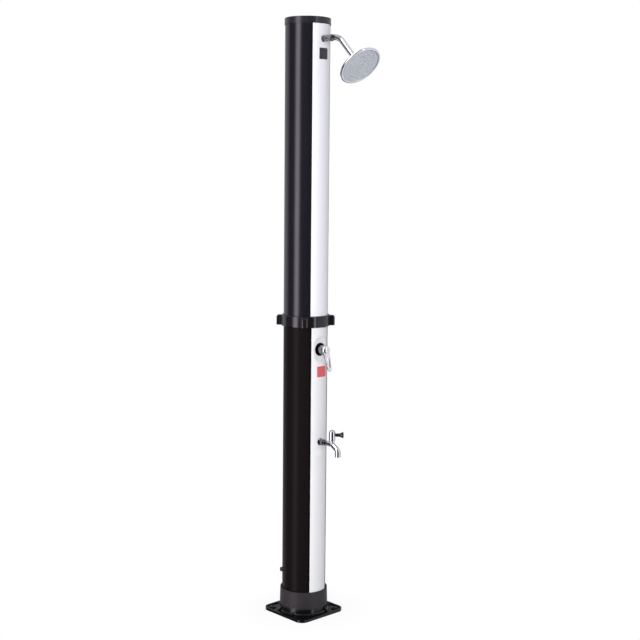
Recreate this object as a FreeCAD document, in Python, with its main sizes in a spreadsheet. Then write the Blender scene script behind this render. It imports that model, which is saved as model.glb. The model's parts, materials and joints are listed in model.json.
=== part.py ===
import FreeCAD, Part
import os
import re
import Sketcher

# Outdoor shower post: two black water tanks screwed together by a lugged ring, a pale cover down the
# front over the water lines, an overhead shower on a bent arm, a lever mixer, a foot tap and a drain plug.
# Millimetres. Z is up, the front faces -Y, and the origin is on the tube's axis at the floor.
# "Forward" below is the distance from the tube's axis towards the front.

SIZES = {
    # clearances
    "seat_gap": 0.3,            # between curved faces that stay apart
    "running_gap": 0.05,        # round a shaft, pin or hose end
    # tube, channel and covers
    "post_height": 2170,
    "tube_radius": 80.5,
    "tank_wall": 3,
    "channel_half": 36,
    "channel_depth": 44,
    "cover_angle": 30,          # half the angle that the front cover spans
    "cover_thick": 2.2,
    "cover_edge": 1.2,
    "hook_length": 8,
    "hook_thick": 2,
    # floor plate and collar
    "plate_side": 220,
    "plate_corner": 31,
    "plate_height": 10,
    "plate_floor": 6,
    "plate_bore": 50,
    "plate_rim": 7,
    "collar_height": 93,
    "collar_wall": 6.5,
    "collar_flare": 2,
    "foot_round": 6,
    "gusset_count": 8,
    "gusset_rise": 14,
    "gusset_thick": 5,
    "anchor_spacing": 164,
    "anchor_hole": 4.5,
    "anchor_boss": 12,
    # joint of the two tanks
    "union_height": 1098,
    "gasket_thick": 2,
    "gasket_width": 4.5,
    "flange_proud": 2.2,
    "flange_width": 8.5,
    "thread_length": 17,
    "flange_height": 7,
    "ring_below": 21,
    "ring_above": 20,
    "ring_radius": 88,
    "lug_count": 4,
    "lug_reach": 106.5,
    "lug_width": 28,
    "lug_height": 36,
    "lug_round": 9,
    "transfer_radius": 10,
    "transfer_wall": 3.5,
    "transfer_length": 50,
    "transfer_back": 40,
    "seal_wire": 0.9,
    # top cap
    "cap_height": 20,
    "cap_wall": 4,
    "cap_skirt": 2,
    "cap_round": 3,
    # hoses and their ends
    "hose_forward": 52,
    "hose_radius": 7,
    "hose_bore": 5,
    "barb_length": 16,
    "stub_radius": 7.5,
    "water_bore": 3.5,
    "branch_bore": 3,
    "tee_half": 14,
    "tee_floor": 10,
    "elbow_half": 12,
    "tap_socket": 19,
    "arm_socket": 21,
    "clip_from": 55,
    "hot_line": 22,
    "clip_height": 12,
    "clip_count_low": 3,
    "clip_count_middle": 2,
    "clip_count_high": 5,
    "clip_lip": 2.4,
    # water inlet and drain
    "inlet_height": 158,
    "inlet_radius": 9.5,
    "inlet_thread": 10.4,
    "inlet_reach": 26,
    "inlet_flange": 15,
    "boss_flat": 2,
    "washer_thick": 1.5,
    "nut_thick": 6,
    "nut_radius": 15,
    "fill_drop": 62,
    "outlet_below_top": 114,
    "drain_height": 158,
    "drain_angle": 128,
    "drain_radius": 5.5,
    "drain_knob": 7,
    "drain_rise": 8,
    # shower arm and head
    "arm_below_top": 72,
    "arm_radius": 10,
    "arm_wall": 1.2,
    "arm_bend": 60,
    "arm_corner": 161,
    "arm_drop": 45,
    "arm_run": 106,
    "arm_nut_thick": 4.5,
    "rosette_radius": 12.5,
    "rosette_thick": 4,
    "ball_radius": 9,
    "ball_ahead": 119,
    "seat_wall": 2.7,
    "nut_skirt": 8,
    "head_radius": 77,
    "head_ahead": 150,
    "head_edge": 4.5,
    "head_crown": 19,
    "head_neck": 15,
    "face_radius": 72,
    "face_thick": 2.5,
    "face_sink": 0.6,
    "mat_thick": 2,
    "nozzle_count": 8,
    "nozzle_pitch": 19,
    "nozzle_radius": 1.6,
    # mixer
    "mixer_below_union": 101,
    "dish_half": 30,
    "dish_reach": 45,
    "dish_forward": 77.5,
    "bezel_radius": 24,
    "bezel_cup": 21.5,
    "bezel_wall": 1.2,
    "bezel_depth": 12,
    "bezel_lip": 2,
    "mixer_radius": 20,
    "mixer_stub": 34,
    "spigot_radius": 15,
    "spigot_length": 6,
    "cartridge_radius": 12.5,
    "cartridge_length": 32,
    "rotor_radius": 9.5,
    "cartridge_base": 14,
    "rotor_ahead": 8,
    "pivot_forward": 91,
    "stem_radius": 4,
    "stem_back": 11,
    "stem_front": 23,
    "pin_radius": 1.5,
    "neck_radius": 16.5,
    "dome_radius": 18.5,
    "dome_opening": 10.9,
    "lever_head": 17,
    "lever_face": 29,
    "lever_reach": 75,
    "lever_taper": 5.5,
    "lever_tip": 8.5,
    "lever_tip_forward": 46,
    "lever_thick": 6.5,
    "lever_dome": 12,
    "lever_round": 2.4,
    "loop_half": 5.5,
    "loop_top": 24,
    "loop_end": 61,
    "dot_radius": 4,
    # foot tap
    "tap_height": 657,
    "tap_shank": 8,
    "tap_rosette": 13.5,
    "neck_collar": 9.5,
    "barrel_forward": 146,
    "barrel_radius": 12,
    "barrel_low": 5,
    "barrel_high": 17,
    "link_radius": 9,
    "barrel_top": 53,
    "spout_radius": 9.5,
    "spout_forward": 176.5,
    "spout_tip": 11,
    "spout_end": 40.5,
    "spout_collar": 18,
    "spout_slope": 30,
    "spout_sweep": 25,
    "spout_bend": 14,
    "spindle_radius": 6,
    "grip_height": 35,
    "grip_angle": 47,
    "grip_reach": 42,
    "grip_root": 5,
    "grip_waist": 4.2,
    "grip_end": 11.5,
    "stud_radius": 3.5,
    "stud_root": 6,
}

document = FreeCAD.newDocument("shower_post")
sheet = document.addObject("Spreadsheet::Sheet", "sizes")
for line, (alias, size) in enumerate(SIZES.items(), 1):
    sheet.set(f"A{line}", alias)
    sheet.set(f"B{line}", str(size))
    sheet.setAlias(f"B{line}", alias)
document.recompute()

# Sizes that follow from the driving ones, as expressions on the sheet.
CHANNEL_FLOOR = "(tube_radius - channel_depth)"
COVER_INNER = "(tube_radius + seat_gap)"
COVER_OUTER = "(tube_radius + seat_gap + cover_thick)"
UNION_LOW = "(union_height - gasket_thick / 2)"
UNION_HIGH = "(union_height + gasket_thick / 2)"
RING_FOOT = "(union_height - ring_below)"
RING_TOP = "(union_height + ring_above)"
TANK_TOP = "(post_height - cap_wall)"
ARM_LEVEL = "(post_height - arm_below_top)"
OUTLET_LEVEL = "(post_height - outlet_below_top)"
MIXER_LEVEL = "(union_height - mixer_below_union)"
BARB_RADIUS = "(hose_bore - running_gap)"
BEZEL_FLOOR = "(dish_forward - bezel_depth)"
SPIGOT_END = "(dish_forward - bezel_depth + bezel_lip + spigot_length)"
CARTRIDGE_SEAT = "(pivot_forward - 35)"
ANCHOR = "(anchor_spacing / 2)"
SEAL_LEVEL = "(gasket_thick / 2 + tank_wall / 2)"

SUBPARTS = []
RINGS = 3
NEAR = 0.001
X_AXIS, Y_AXIS, Z_AXIS = FreeCAD.Vector(1, 0, 0), FreeCAD.Vector(0, 1, 0), FreeCAD.Vector(0, 0, 1)
FORWARD = [(X_AXIS, "90")]


def bind(text):
    """The expression with each size read from the sheet."""
    return re.sub(r"[a-z_]+", lambda word: "sizes." + word[0] if word[0] in SIZES else word[0], text)


def size_of(text):
    """The number that an expression gives."""
    return float(sheet.evalExpression(bind(text)))


def subpart(label):
    """An empty body that becomes the node of this name."""
    body = document.addObject("PartDesign::Body", label)
    body.Label = label
    SUBPARTS.append(body)
    return body


def place(body, x="0", y="0", z="0", turn=()):
    """Seat a body at a point, turned by (axis, angle) pairs."""
    rotation = FreeCAD.Rotation()
    for axis, angle in turn:
        rotation = rotation.multiply(FreeCAD.Rotation(axis, size_of(angle)))
    body.Placement = FreeCAD.Placement(FreeCAD.Vector(), rotation)
    for name, text in zip("xyz", (x, y, z)):
        body.setExpression(f"Placement.Base.{name}", bind(text))
    return body


def sketch_on(body, plane, offset="0", tilt=None):
    """A sketch on an origin plane of the body, moved along its normal and tilted about (axis, angle)."""
    sketch = body.newObject("Sketcher::SketchObject", "outline")
    support = next(item for item in body.Origin.OriginFeatures if item.Role == plane)
    sketch.AttachmentSupport = [(support, "")]
    sketch.MapMode = "FlatFace"
    if tilt:
        turned = FreeCAD.Rotation(tilt[0], size_of(tilt[1]))
        sketch.AttachmentOffset = FreeCAD.Placement(FreeCAD.Vector(), turned)
        sketch.setExpression("AttachmentOffset.Rotation.Angle", bind(tilt[1]))
    sketch.setExpression("AttachmentOffset.Base.z", bind(offset))
    return sketch


def fix_point(sketch, geometry, end, x, y):
    """Hold a point of the sketch at x, y from its origin."""
    for kind, text in (("DistanceX", x), ("DistanceY", y)):
        index = sketch.addConstraint(Sketcher.Constraint(kind, -1, 1, geometry, end, size_of(text)))
        sketch.setExpression(f"Constraints[{index}]", bind(text))


def point_of(corner):
    """The place of a corner in its sketch."""
    return FreeCAD.Vector(size_of(corner[0]), size_of(corner[1]), 0)


def edge_from(sketch, corner, after):
    """Draw the edge that leaves a corner; returns its number and which of its ends is which."""
    start, end = point_of(corner), point_of(after)
    if len(corner) == 2:
        return sketch.addGeometry(Part.LineSegment(start, end), False), 1, 2
    via = point_of(corner[2])
    left_turn = (via - start).cross(end - via).z > 0
    arc = Part.Arc(start, via, end) if left_turn else Part.Arc(end, via, start)
    number = sketch.addGeometry(arc, False)
    mark = sketch.addGeometry(Part.Point(via), True)
    sketch.addConstraint(Sketcher.Constraint("PointOnObject", mark, 1, number))
    fix_point(sketch, mark, 1, *corner[2])
    return (number, 1, 2) if left_turn else (number, 2, 1)


def loop(sketch, corners):
    """Draw a closed outline. A corner is (x, y), or (x, y, (via x, via y)) where an arc leaves it."""
    edges = [edge_from(sketch, corner, after) for corner, after in zip(corners, corners[1:] + corners[:1])]
    for index, (number, start, end) in enumerate(edges):
        after = edges[(index + 1) % len(edges)]
        sketch.addConstraint(Sketcher.Constraint("Coincident", number, end, after[0], after[1]))
        fix_point(sketch, number, start, corners[index][0], corners[index][1])


def disc(sketch, x, y, radius):
    """Draw a circle."""
    centre = FreeCAD.Vector(size_of(x), size_of(y), 0)
    circle = Part.Circle(centre, FreeCAD.Vector(0, 0, 1), size_of(radius))
    number = sketch.addGeometry(circle, False)
    fix_point(sketch, number, 3, x, y)
    index = sketch.addConstraint(Sketcher.Constraint("Radius", number, size_of(radius)))
    sketch.setExpression(f"Constraints[{index}]", bind(radius))


def box_loop(sketch, low_x, high_x, low_y, high_y):
    """Draw a rectangle."""
    loop(sketch, [(low_x, low_y), (high_x, low_y), (high_x, high_y), (low_x, high_y)])


def round_square(sketch, half, corner):
    """Draw a square with rounded corners about the origin."""
    flat = f"({half} - {corner})"
    bulge = f"({flat} + {corner} * cos(45))"
    loop(sketch, [
        (flat, f"-{half}", (bulge, f"-{bulge}")), (half, f"-{flat}"),
        (half, flat, (bulge, bulge)), (flat, half),
        (f"-{flat}", half, (f"-{bulge}", bulge)), (f"-{half}", flat),
        (f"-{half}", f"-{flat}", (f"-{bulge}", f"-{bulge}")), (f"-{flat}", f"-{half}"),
    ])


def feature(body, kind, sketch, **settings):
    """Add a sketch-based feature and check that it changed the body."""
    before = body.Shape.Volume if body.Tip else 0.0
    item = body.newObject(f"PartDesign::{kind}", kind)
    item.Profile = sketch
    for name, setting in settings.items():
        setattr(item, name, setting)
    return settle(body, item, before, kind in ("Pocket", "Groove"))


def settle(body, item, before, cutting):
    """Recompute and stop where a feature did nothing."""
    document.recompute()
    after = body.Shape.Volume
    if "Invalid" in item.State or "Error" in item.State or (after < before) != cutting or after == before:
        raise RuntimeError(f"{body.Label}: {item.Name} {item.State} took the volume from {before} to {after}")
    return item


def pad(body, sketch, length, middle=False, backwards=False):
    """Push an outline out along its plane's normal."""
    before = body.Shape.Volume if body.Tip else 0.0
    item = body.newObject("PartDesign::Pad", "Pad")
    item.Profile = sketch
    item.Midplane = middle
    item.Reversed = backwards
    item.setExpression("Length", bind(length))
    return settle(body, item, before, False)


def pocket(body, sketch, length, middle=False):
    """Cut an outline along its plane's normal."""
    before = body.Shape.Volume
    item = body.newObject("PartDesign::Pocket", "Pocket")
    item.Profile = sketch
    item.Midplane = middle
    item.Reversed = not middle
    item.setExpression("Length", bind(length))
    return settle(body, item, before, True)


def rod(body, plane, x, y, radius, start, end):
    """A round bar from one distance along the plane's normal to another."""
    sketch = sketch_on(body, plane, start)
    disc(sketch, x, y, radius)
    return pad(body, sketch, f"({end}) - ({start})")


def bore(body, plane, x, y, radius, start, end):
    """A round hole from one distance along the plane's normal to another."""
    sketch = sketch_on(body, plane, start)
    disc(sketch, x, y, radius)
    return pocket(body, sketch, f"({end}) - ({start})")


def revolved(body, corners, cut=False):
    """Turn an outline of (radius, height) corners about the body's Z axis."""
    sketch = sketch_on(body, "XZ_Plane")
    loop(sketch, corners)
    kind = "Groove" if cut else "Revolution"
    return feature(body, kind, sketch, ReferenceAxis=(sketch, ["V_Axis"]), Angle=360)


def around(body, items, count):
    """Repeat features about the body's Z axis."""
    before = body.Shape.Volume
    pattern = body.newObject("PartDesign::PolarPattern", "Around")
    pattern.Originals = items
    axis = next(part for part in body.Origin.OriginFeatures if part.Role == "Z_Axis")
    pattern.Axis = (axis, [""])
    pattern.Angle = 360
    pattern.setExpression("Occurrences", bind(count))
    body.Tip = pattern
    return settle(body, pattern, before, items[0].TypeId == "PartDesign::Pocket")


def rounded(body, radius, chosen):
    """Round the edges that a test picks by their middle point and length."""
    base = body.Tip
    names = []
    for number, edge in enumerate(base.Shape.Edges, 1):
        middle = edge.valueAt((edge.FirstParameter + edge.LastParameter) / 2)
        if chosen(edge, middle):
            names.append(f"Edge{number}")
    if not names:
        raise RuntimeError(f"{body.Label}: no edge to round")
    item = body.newObject("PartDesign::Fillet", "Fillet")
    item.Base = (base, names)
    item.setExpression("Radius", bind(radius))
    document.recompute()
    if "Invalid" in item.State or "Error" in item.State:
        raise RuntimeError(f"{body.Label}: fillet {item.State}")
    return item


def tube_path(body, plane, corners):
    """A sketch of an open path, with corners as in loop."""
    sketch = sketch_on(body, plane)
    edges = [edge_from(sketch, corner, after) for corner, after in zip(corners, corners[1:])]
    for index, (number, start, end) in enumerate(edges):
        fix_point(sketch, number, start, corners[index][0], corners[index][1])
        if index:
            sketch.addConstraint(Sketcher.Constraint("Coincident", edges[index - 1][0], edges[index - 1][2],
                                                     number, start))
    fix_point(sketch, edges[-1][0], edges[-1][2], corners[-1][0], corners[-1][1])
    return sketch


def swept(body, profile, path):
    """Carry a profile along a path."""
    before = body.Shape.Volume if body.Tip else 0.0
    item = body.newObject("PartDesign::AdditivePipe", "Sweep")
    item.Profile = profile
    item.Spine = path
    return settle(body, item, before, False)


# ---- floor plate -------------------------------------------------------------------------------

def make_base_foot():
    """The moulded floor plate: rim, sunk field, anchor bosses, gussets and the collar for the tank."""
    body = place(subpart("base_foot"))
    half = "(plate_side / 2)"
    foot = f"({COVER_INNER} + collar_wall + collar_flare)"
    field = f"({foot} + foot_round)"
    plate = sketch_on(body, "XY_Plane")
    round_square(plate, half, "plate_corner")
    disc(plate, "0", "0", "plate_bore")
    pad(body, plate, "plate_height")
    sunk = sketch_on(body, "XY_Plane", "plate_floor")
    round_square(sunk, f"({half} - plate_rim)", "(plate_corner - plate_rim)")
    disc(sunk, "0", "0", field)
    pocket(body, sunk, "plate_height - plate_floor")
    boss = rod(body, "XY_Plane", ANCHOR, ANCHOR, "anchor_boss", "plate_floor / 2", "plate_height")
    around(body, [boss], "4")
    revolved(body, [
        (COVER_INNER, "plate_floor / 2"), (field, "plate_floor / 2"),
        (field, "plate_height",
         (f"{foot} + foot_round * (1 - cos(45))", "plate_height + foot_round * (1 - cos(45))")),
        (foot, "plate_height + foot_round"),
        (f"{COVER_INNER} + collar_wall", "collar_height - 1",
         (f"{COVER_INNER} + collar_wall - 1 + cos(45)", "collar_height - 1 + cos(45)")),
        (f"{COVER_INNER} + collar_wall - 1", "collar_height"), (COVER_INNER, "collar_height"),
    ])
    slope = sketch_on(body, "XZ_Plane", tilt=(Y_AXIS, "180 / gusset_count"))
    loop(slope, [
        (f"{foot} - 2", "plate_floor / 2"), (f"{half} - plate_rim / 2", "plate_floor / 2"),
        (f"{half} - plate_rim / 2", "plate_height",
         (f"{foot} + (({half} - plate_rim / 2) - {foot}) * 0.35", "plate_height + gusset_rise * 0.35")),
        (f"{foot}", "plate_height + gusset_rise"), (f"{foot} - 2", "plate_height + gusset_rise"),
    ])
    gusset = pad(body, slope, "gusset_thick", middle=True)
    around(body, [gusset], "gusset_count")
    hole = bore(body, "XY_Plane", ANCHOR, ANCHOR, "anchor_hole", "0", "plate_height")
    around(body, [hole], "4")


# ---- tanks -------------------------------------------------------------------------------------

def crescent(sketch, inset):
    """The tank's section: a disc with the channel for the water lines cut into its front."""
    radius = f"(tube_radius - {inset})"
    side = f"(channel_half + {inset})"
    floor = f"-({CHANNEL_FLOOR} - {inset})"
    mouth = f"-sqrt({radius} * {radius} - {side} * {side})"
    loop(sketch, [
        (side, mouth, ("0", radius)), (f"-{side}", mouth), (f"-{side}", floor), (side, floor),
    ])


def tank_shell(body, height):
    """A closed blow-moulded shell with the crescent section."""
    outer = sketch_on(body, "XY_Plane")
    crescent(outer, "0")
    pad(body, outer, height)
    inner = sketch_on(body, "XY_Plane", "tank_wall")
    crescent(inner, "tank_wall")
    pocket(body, inner, f"({height}) - 2 * tank_wall")


def end_band(body, start, end):
    """The full round band that closes the channel's mouth at the union."""
    band = sketch_on(body, "XY_Plane", start)
    disc(band, "0", "0", "tube_radius + flange_proud")
    disc(band, "0", "0", "tube_radius + flange_proud - flange_width")
    pad(body, band, f"({end}) - ({start})")


def make_lower_tank():
    """The lower tank: threaded band at its top, tunnel for the inlet, ports for filling and draining."""
    body = place(subpart("lower_tank"), z="plate_height")
    height = f"({UNION_LOW} - plate_height)"
    tank_shell(body, height)
    end_band(body, f"{height} - thread_length", height)
    level = "(inlet_height - plate_height)"
    rod(body, "XZ_Plane", "0", level, "inlet_radius + 4", "-(tube_radius - tank_wall / 2)", CHANNEL_FLOOR)
    rod(body, "XZ_Plane", "0", level, "inlet_flange + 2", "-(tube_radius + boss_flat)", "-(tube_radius - 3)")
    bore(body, "XZ_Plane", "0", level, "inlet_radius + running_gap", "-(tube_radius + 5)", "tube_radius")
    bore(body, "XZ_Plane", "0", "inlet_height - fill_drop - plate_height", "stub_radius + running_gap",
         f"{CHANNEL_FLOOR} - tank_wall - 1", f"{CHANNEL_FLOOR} + 1")
    bore(body, "XY_Plane", "0", "transfer_back", "transfer_radius + running_gap",
         f"{height} - tank_wall - 1", f"{height} + 1")
    drain = sketch_on(body, "XZ_Plane", tilt=(Y_AXIS, "-drain_angle"))
    disc(drain, "0", "drain_height - plate_height", "drain_radius + 2 + running_gap")
    pocket(body, drain, "tube_radius + 5")


def make_upper_tank():
    """The upper tank: flange at its foot for the union ring, hot outlet near its top."""
    body = place(subpart("upper_tank"), z=UNION_HIGH)
    height = f"({TANK_TOP} - {UNION_HIGH})"
    tank_shell(body, height)
    end_band(body, "0", "flange_height")
    bore(body, "XY_Plane", "0", "transfer_back", "transfer_radius + running_gap", "-1", "tank_wall + 1")
    bore(body, "XZ_Plane", "-hot_line", f"{OUTLET_LEVEL} - {UNION_HIGH}", "stub_radius + running_gap",
         f"{CHANNEL_FLOOR} - tank_wall - 1", f"{CHANNEL_FLOOR} + 1")


def make_union():
    """The gasket, the lugged ring that pulls the tanks together, and the pipe between them."""
    gasket = place(subpart("union_gasket"), z=UNION_LOW)
    flat = sketch_on(gasket, "XY_Plane")
    disc(flat, "0", "0", "tube_radius")
    disc(flat, "0", "0", "tube_radius - gasket_width")
    pad(gasket, flat, "gasket_thick")

    ring = place(subpart("union_ring"), z=RING_FOOT, turn=[(Z_AXIS, "45")])
    inner = "(tube_radius + flange_proud + seat_gap)"
    lip = f"({UNION_HIGH} + flange_height - {RING_FOOT})"
    full = f"({RING_TOP} - {RING_FOOT})"
    revolved(ring, [
        (inner, "0"), ("ring_radius - 1.5", "0"), ("ring_radius", "1.5"),
        ("ring_radius", f"{full} - 3", ("ring_radius - 3 + 3 * cos(45)", f"{full} - 3 + 3 * cos(45)")),
        ("ring_radius - 3", full), ("tube_radius + 2 * seat_gap", full),
        ("tube_radius + 2 * seat_gap", lip), (inner, lip),
    ])
    grip = sketch_on(ring, "XY_Plane", f"({full} - lug_height) / 2")
    loop(grip, [
        ("-lug_width / 2", "-(ring_radius - 2)"),
        ("-lug_width / 2 + 2.5", "-(lug_reach - 5)", ("-lug_width / 2 + 5.5", "-(lug_reach - 1.5)")),
        ("-lug_width / 2 + 9", "-lug_reach"),
        ("lug_width / 2 - 9", "-lug_reach", ("lug_width / 2 - 5.5", "-(lug_reach - 1.5)")),
        ("lug_width / 2 - 2.5", "-(lug_reach - 5)"), ("lug_width / 2", "-(ring_radius - 2)"),
    ])
    lug = pad(ring, grip, "lug_height")
    top = size_of(f"({full} + lug_height) / 2")
    reach = size_of("lug_reach")
    shaped = rounded(ring, "lug_round", lambda edge, middle: abs(middle.z - top) < NEAR
                     and abs(middle.y + reach) < NEAR)
    around(ring, [lug, shaped], "lug_count")

    pipe = place(subpart("transfer_pipe"), y="transfer_back", z="union_height")
    outer = "transfer_radius"
    collar = "(transfer_radius + 4)"
    hole = "(transfer_radius - transfer_wall)"
    groove = "(transfer_radius - 2 * seal_wire)"
    near, far = f"({SEAL_LEVEL} - seal_wire)", f"({SEAL_LEVEL} + seal_wire)"
    revolved(pipe, [
        (hole, "-transfer_length / 2"), (outer, "-transfer_length / 2"), (outer, f"-{far}"),
        (groove, f"-{far}"),
        (groove, f"-{near}"), (outer, f"-{near}"), (outer, "-gasket_thick / 2"),
        (collar, "-gasket_thick / 2"), (collar, "gasket_thick / 2"), (outer, "gasket_thick / 2"),
        (outer, near), (groove, near), (groove, far), (outer, far),
        (outer, "transfer_length / 2"), (hole, "transfer_length / 2"),
    ])


def make_transfer_seals():
    """Two O-rings in the transfer pipe's grooves, one in each tank's wall."""
    body = place(subpart("transfer_seals"), y="transfer_back", z="union_height")
    body.AllowCompound = True
    for sign in ("", "-"):
        sketch = sketch_on(body, "XZ_Plane")
        disc(sketch, "transfer_radius - seal_wire", f"{sign}{SEAL_LEVEL}", "seal_wire")
        feature(body, "Revolution", sketch, ReferenceAxis=(sketch, ["V_Axis"]), Angle=360)


def make_cap():
    """The cap that closes the top of the tube."""
    cap = place(subpart("top_cap"), z="post_height - cap_height")
    outer = f"({COVER_INNER} + cap_skirt)"
    crown = f"({outer} - 0.6)"
    revolved(cap, [
        (COVER_INNER, "0"), (outer, "0"), (outer, "cap_height / 3"), (crown, "cap_height / 3 + 0.6"),
        (crown, "cap_height - cap_round",
         (f"{crown} - cap_round * (1 - cos(45))", "cap_height - cap_round * (1 - cos(45))")),
        (f"{crown} - cap_round", "cap_height"), ("0", "cap_height"),
        ("0", "cap_height - cap_wall"), (COVER_INNER, "cap_height - cap_wall"),
    ])


# ---- front covers ------------------------------------------------------------------------------

def cover(label, foot, head):
    """A curved cover with two hooks that snap inside the channel's mouth."""
    body = place(subpart(label), z=foot)
    shell = sketch_on(body, "XY_Plane")
    side, ahead = "sin(cover_angle)", "cos(cover_angle)"
    loop(shell, [
        (f"-{COVER_OUTER} * {side}", f"-{COVER_OUTER} * {ahead}", ("0", f"-{COVER_OUTER}")),
        (f"{COVER_OUTER} * {side}", f"-{COVER_OUTER} * {ahead}"),
        (f"{COVER_INNER} * {side}", f"-{COVER_INNER} * {ahead}", ("0", f"-{COVER_INNER}")),
        (f"-{COVER_INNER} * {side}", f"-{COVER_INNER} * {ahead}"),
    ])
    height = f"(({head}) - ({foot}))"
    pad(body, shell, height)
    edge_x, edge_y = size_of(f"{COVER_OUTER} * {side}"), size_of(f"{COVER_OUTER} * {ahead}")
    rounded(body, "cover_edge", lambda edge, middle: abs(abs(middle.x) - edge_x) < NEAR
            and abs(middle.y + edge_y) < NEAR)
    hooks = sketch_on(body, "XY_Plane")
    reach = "(channel_half - seat_gap)"
    root = f"-(sqrt({COVER_INNER} * {COVER_INNER} - {reach} * {reach}) + cover_thick / 2)"
    for sign in ("", "-"):
        box_loop(hooks, f"{sign}{reach}", f"{sign}({reach} - hook_thick)", root, f"{root} + hook_length")
    pad(body, hooks, height)
    return body


def dish(sketch, level, wall):
    """The outline of the mixer's dish: straight sides and round ends."""
    half = f"(dish_half + {wall})"
    low, high = f"({level} - dish_reach + dish_half)", f"({level} + dish_reach - dish_half)"
    loop(sketch, [
        (half, low), (half, high, ("0", f"{high} + {half}")),
        (f"-{half}", high), (f"-{half}", low, ("0", f"{low} - {half}")),
    ])


def make_covers():
    """The two front covers: a hole for the arm above, the mixer's dish and the tap's hole below."""
    upper_foot = f"({RING_TOP} + seat_gap)"
    upper = cover("upper_cover", upper_foot, "post_height - cap_height - seat_gap")
    bore(upper, "XZ_Plane", "0", f"{ARM_LEVEL} - {upper_foot}", "arm_radius + seat_gap",
         "channel_depth", f"{COVER_OUTER} + 1")

    lower = cover("lower_cover", "collar_height", f"{RING_FOOT} - seat_gap")
    level = f"({MIXER_LEVEL} - collar_height)"
    pan = sketch_on(lower, "XZ_Plane", "dish_forward - cover_thick")
    dish(pan, level, "cover_thick")
    pad(lower, pan, f"{COVER_OUTER} - dish_forward + cover_thick")
    trim = sketch_on(lower, "XY_Plane")
    disc(trim, "0", "0", COVER_OUTER)
    disc(trim, "0", "0", f"{COVER_OUTER} + dish_half")
    pocket(lower, trim, "post_height")
    floor = sketch_on(lower, "XZ_Plane", "dish_forward")
    dish(floor, level, "0")
    pocket(lower, floor, "channel_depth")
    bore(lower, "XZ_Plane", "0", level, "bezel_cup + bezel_wall + seat_gap",
         "channel_depth", "tube_radius + 5")
    bore(lower, "XZ_Plane", "0", "tap_height - collar_height", "tap_shank + seat_gap",
         "channel_depth", f"{COVER_OUTER} + 1")


# ---- water lines -------------------------------------------------------------------------------

def hose(label, x, low, high):
    """A straight hose between two shoulders, over their barbs."""
    body = place(subpart(label), x=x, y="-hose_forward", z=low)
    ring = sketch_on(body, "XY_Plane")
    disc(ring, "0", "0", "hose_radius")
    disc(ring, "0", "0", "hose_bore")
    pad(body, ring, f"({high}) - ({low})")


def hexagon(sketch, radius):
    """Draw a hexagon about the origin, with its corners at a radius."""
    loop(sketch, [(f"({radius}) * cos({60 * side})", f"({radius}) * sin({60 * side})") for side in range(6)])


def tee(label, level):
    """A tee on the cold line, with barbs up and down; its socket is added by the caller."""
    body = place(subpart(label), y="-hose_forward", z=level)
    rod(body, "XY_Plane", "0", "0", "stub_radius", "-tee_half", "tee_half")
    rod(body, "XY_Plane", "0", "0", BARB_RADIUS, "-tee_half - barb_length", "tee_half + barb_length")
    return body


def elbow(label, x, level, turn):
    """An elbow from a barb on a hose into the channel's back wall, with a flange against the wall."""
    body = place(subpart(label), x=x, y="-hose_forward", z=level, turn=turn)
    wall = f"(hose_forward - {CHANNEL_FLOOR})"
    rod(body, "XY_Plane", "0", "0", "stub_radius", "-stub_radius", "elbow_half")
    rod(body, "XY_Plane", "0", "0", BARB_RADIUS, "elbow_half / 2", "elbow_half + barb_length")
    rod(body, "XZ_Plane", "0", "0", "stub_radius", f"-{wall} - tank_wall - 2", "0")
    rod(body, "XZ_Plane", "0", "0", "stub_radius + 3.5", f"-{wall}", f"-{wall} + 3")
    bore(body, "XY_Plane", "0", "0", "water_bore", "0", "elbow_half + barb_length + 1")
    bore(body, "XZ_Plane", "0", "0", "water_bore", f"-{wall} - tank_wall - 3", "0")


def clips(label, low, high, count, lines):
    """A row of clips screwed to the channel's back wall, each with a snap mouth for every hose."""
    body = place(subpart(label), z=low)
    body.AllowCompound = True
    edge = "(hose_radius + clip_lip)"
    block = sketch_on(body, "XY_Plane")
    box_loop(block, f"{lines[0]} - {edge}", f"{lines[-1]} + {edge}",
             "-(hose_forward + clip_lip)", f"-{CHANNEL_FLOOR}")
    first = pad(body, block, "clip_height")
    seats = []
    for line in lines:
        seats.append(bore(body, "XY_Plane", line, "-hose_forward", "hose_radius + running_gap",
                          "-1", "clip_height + 1"))
    before = body.Shape.Volume
    row = body.newObject("PartDesign::LinearPattern", "Row")
    row.Originals = [first] + seats
    axis = next(part for part in body.Origin.OriginFeatures if part.Role == "Z_Axis")
    row.Direction = (axis, [""])
    row.setExpression("Length", bind(f"({high}) - ({low})"))
    row.setExpression("Occurrences", bind(count))
    body.Tip = row
    settle(body, row, before, False)


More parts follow.
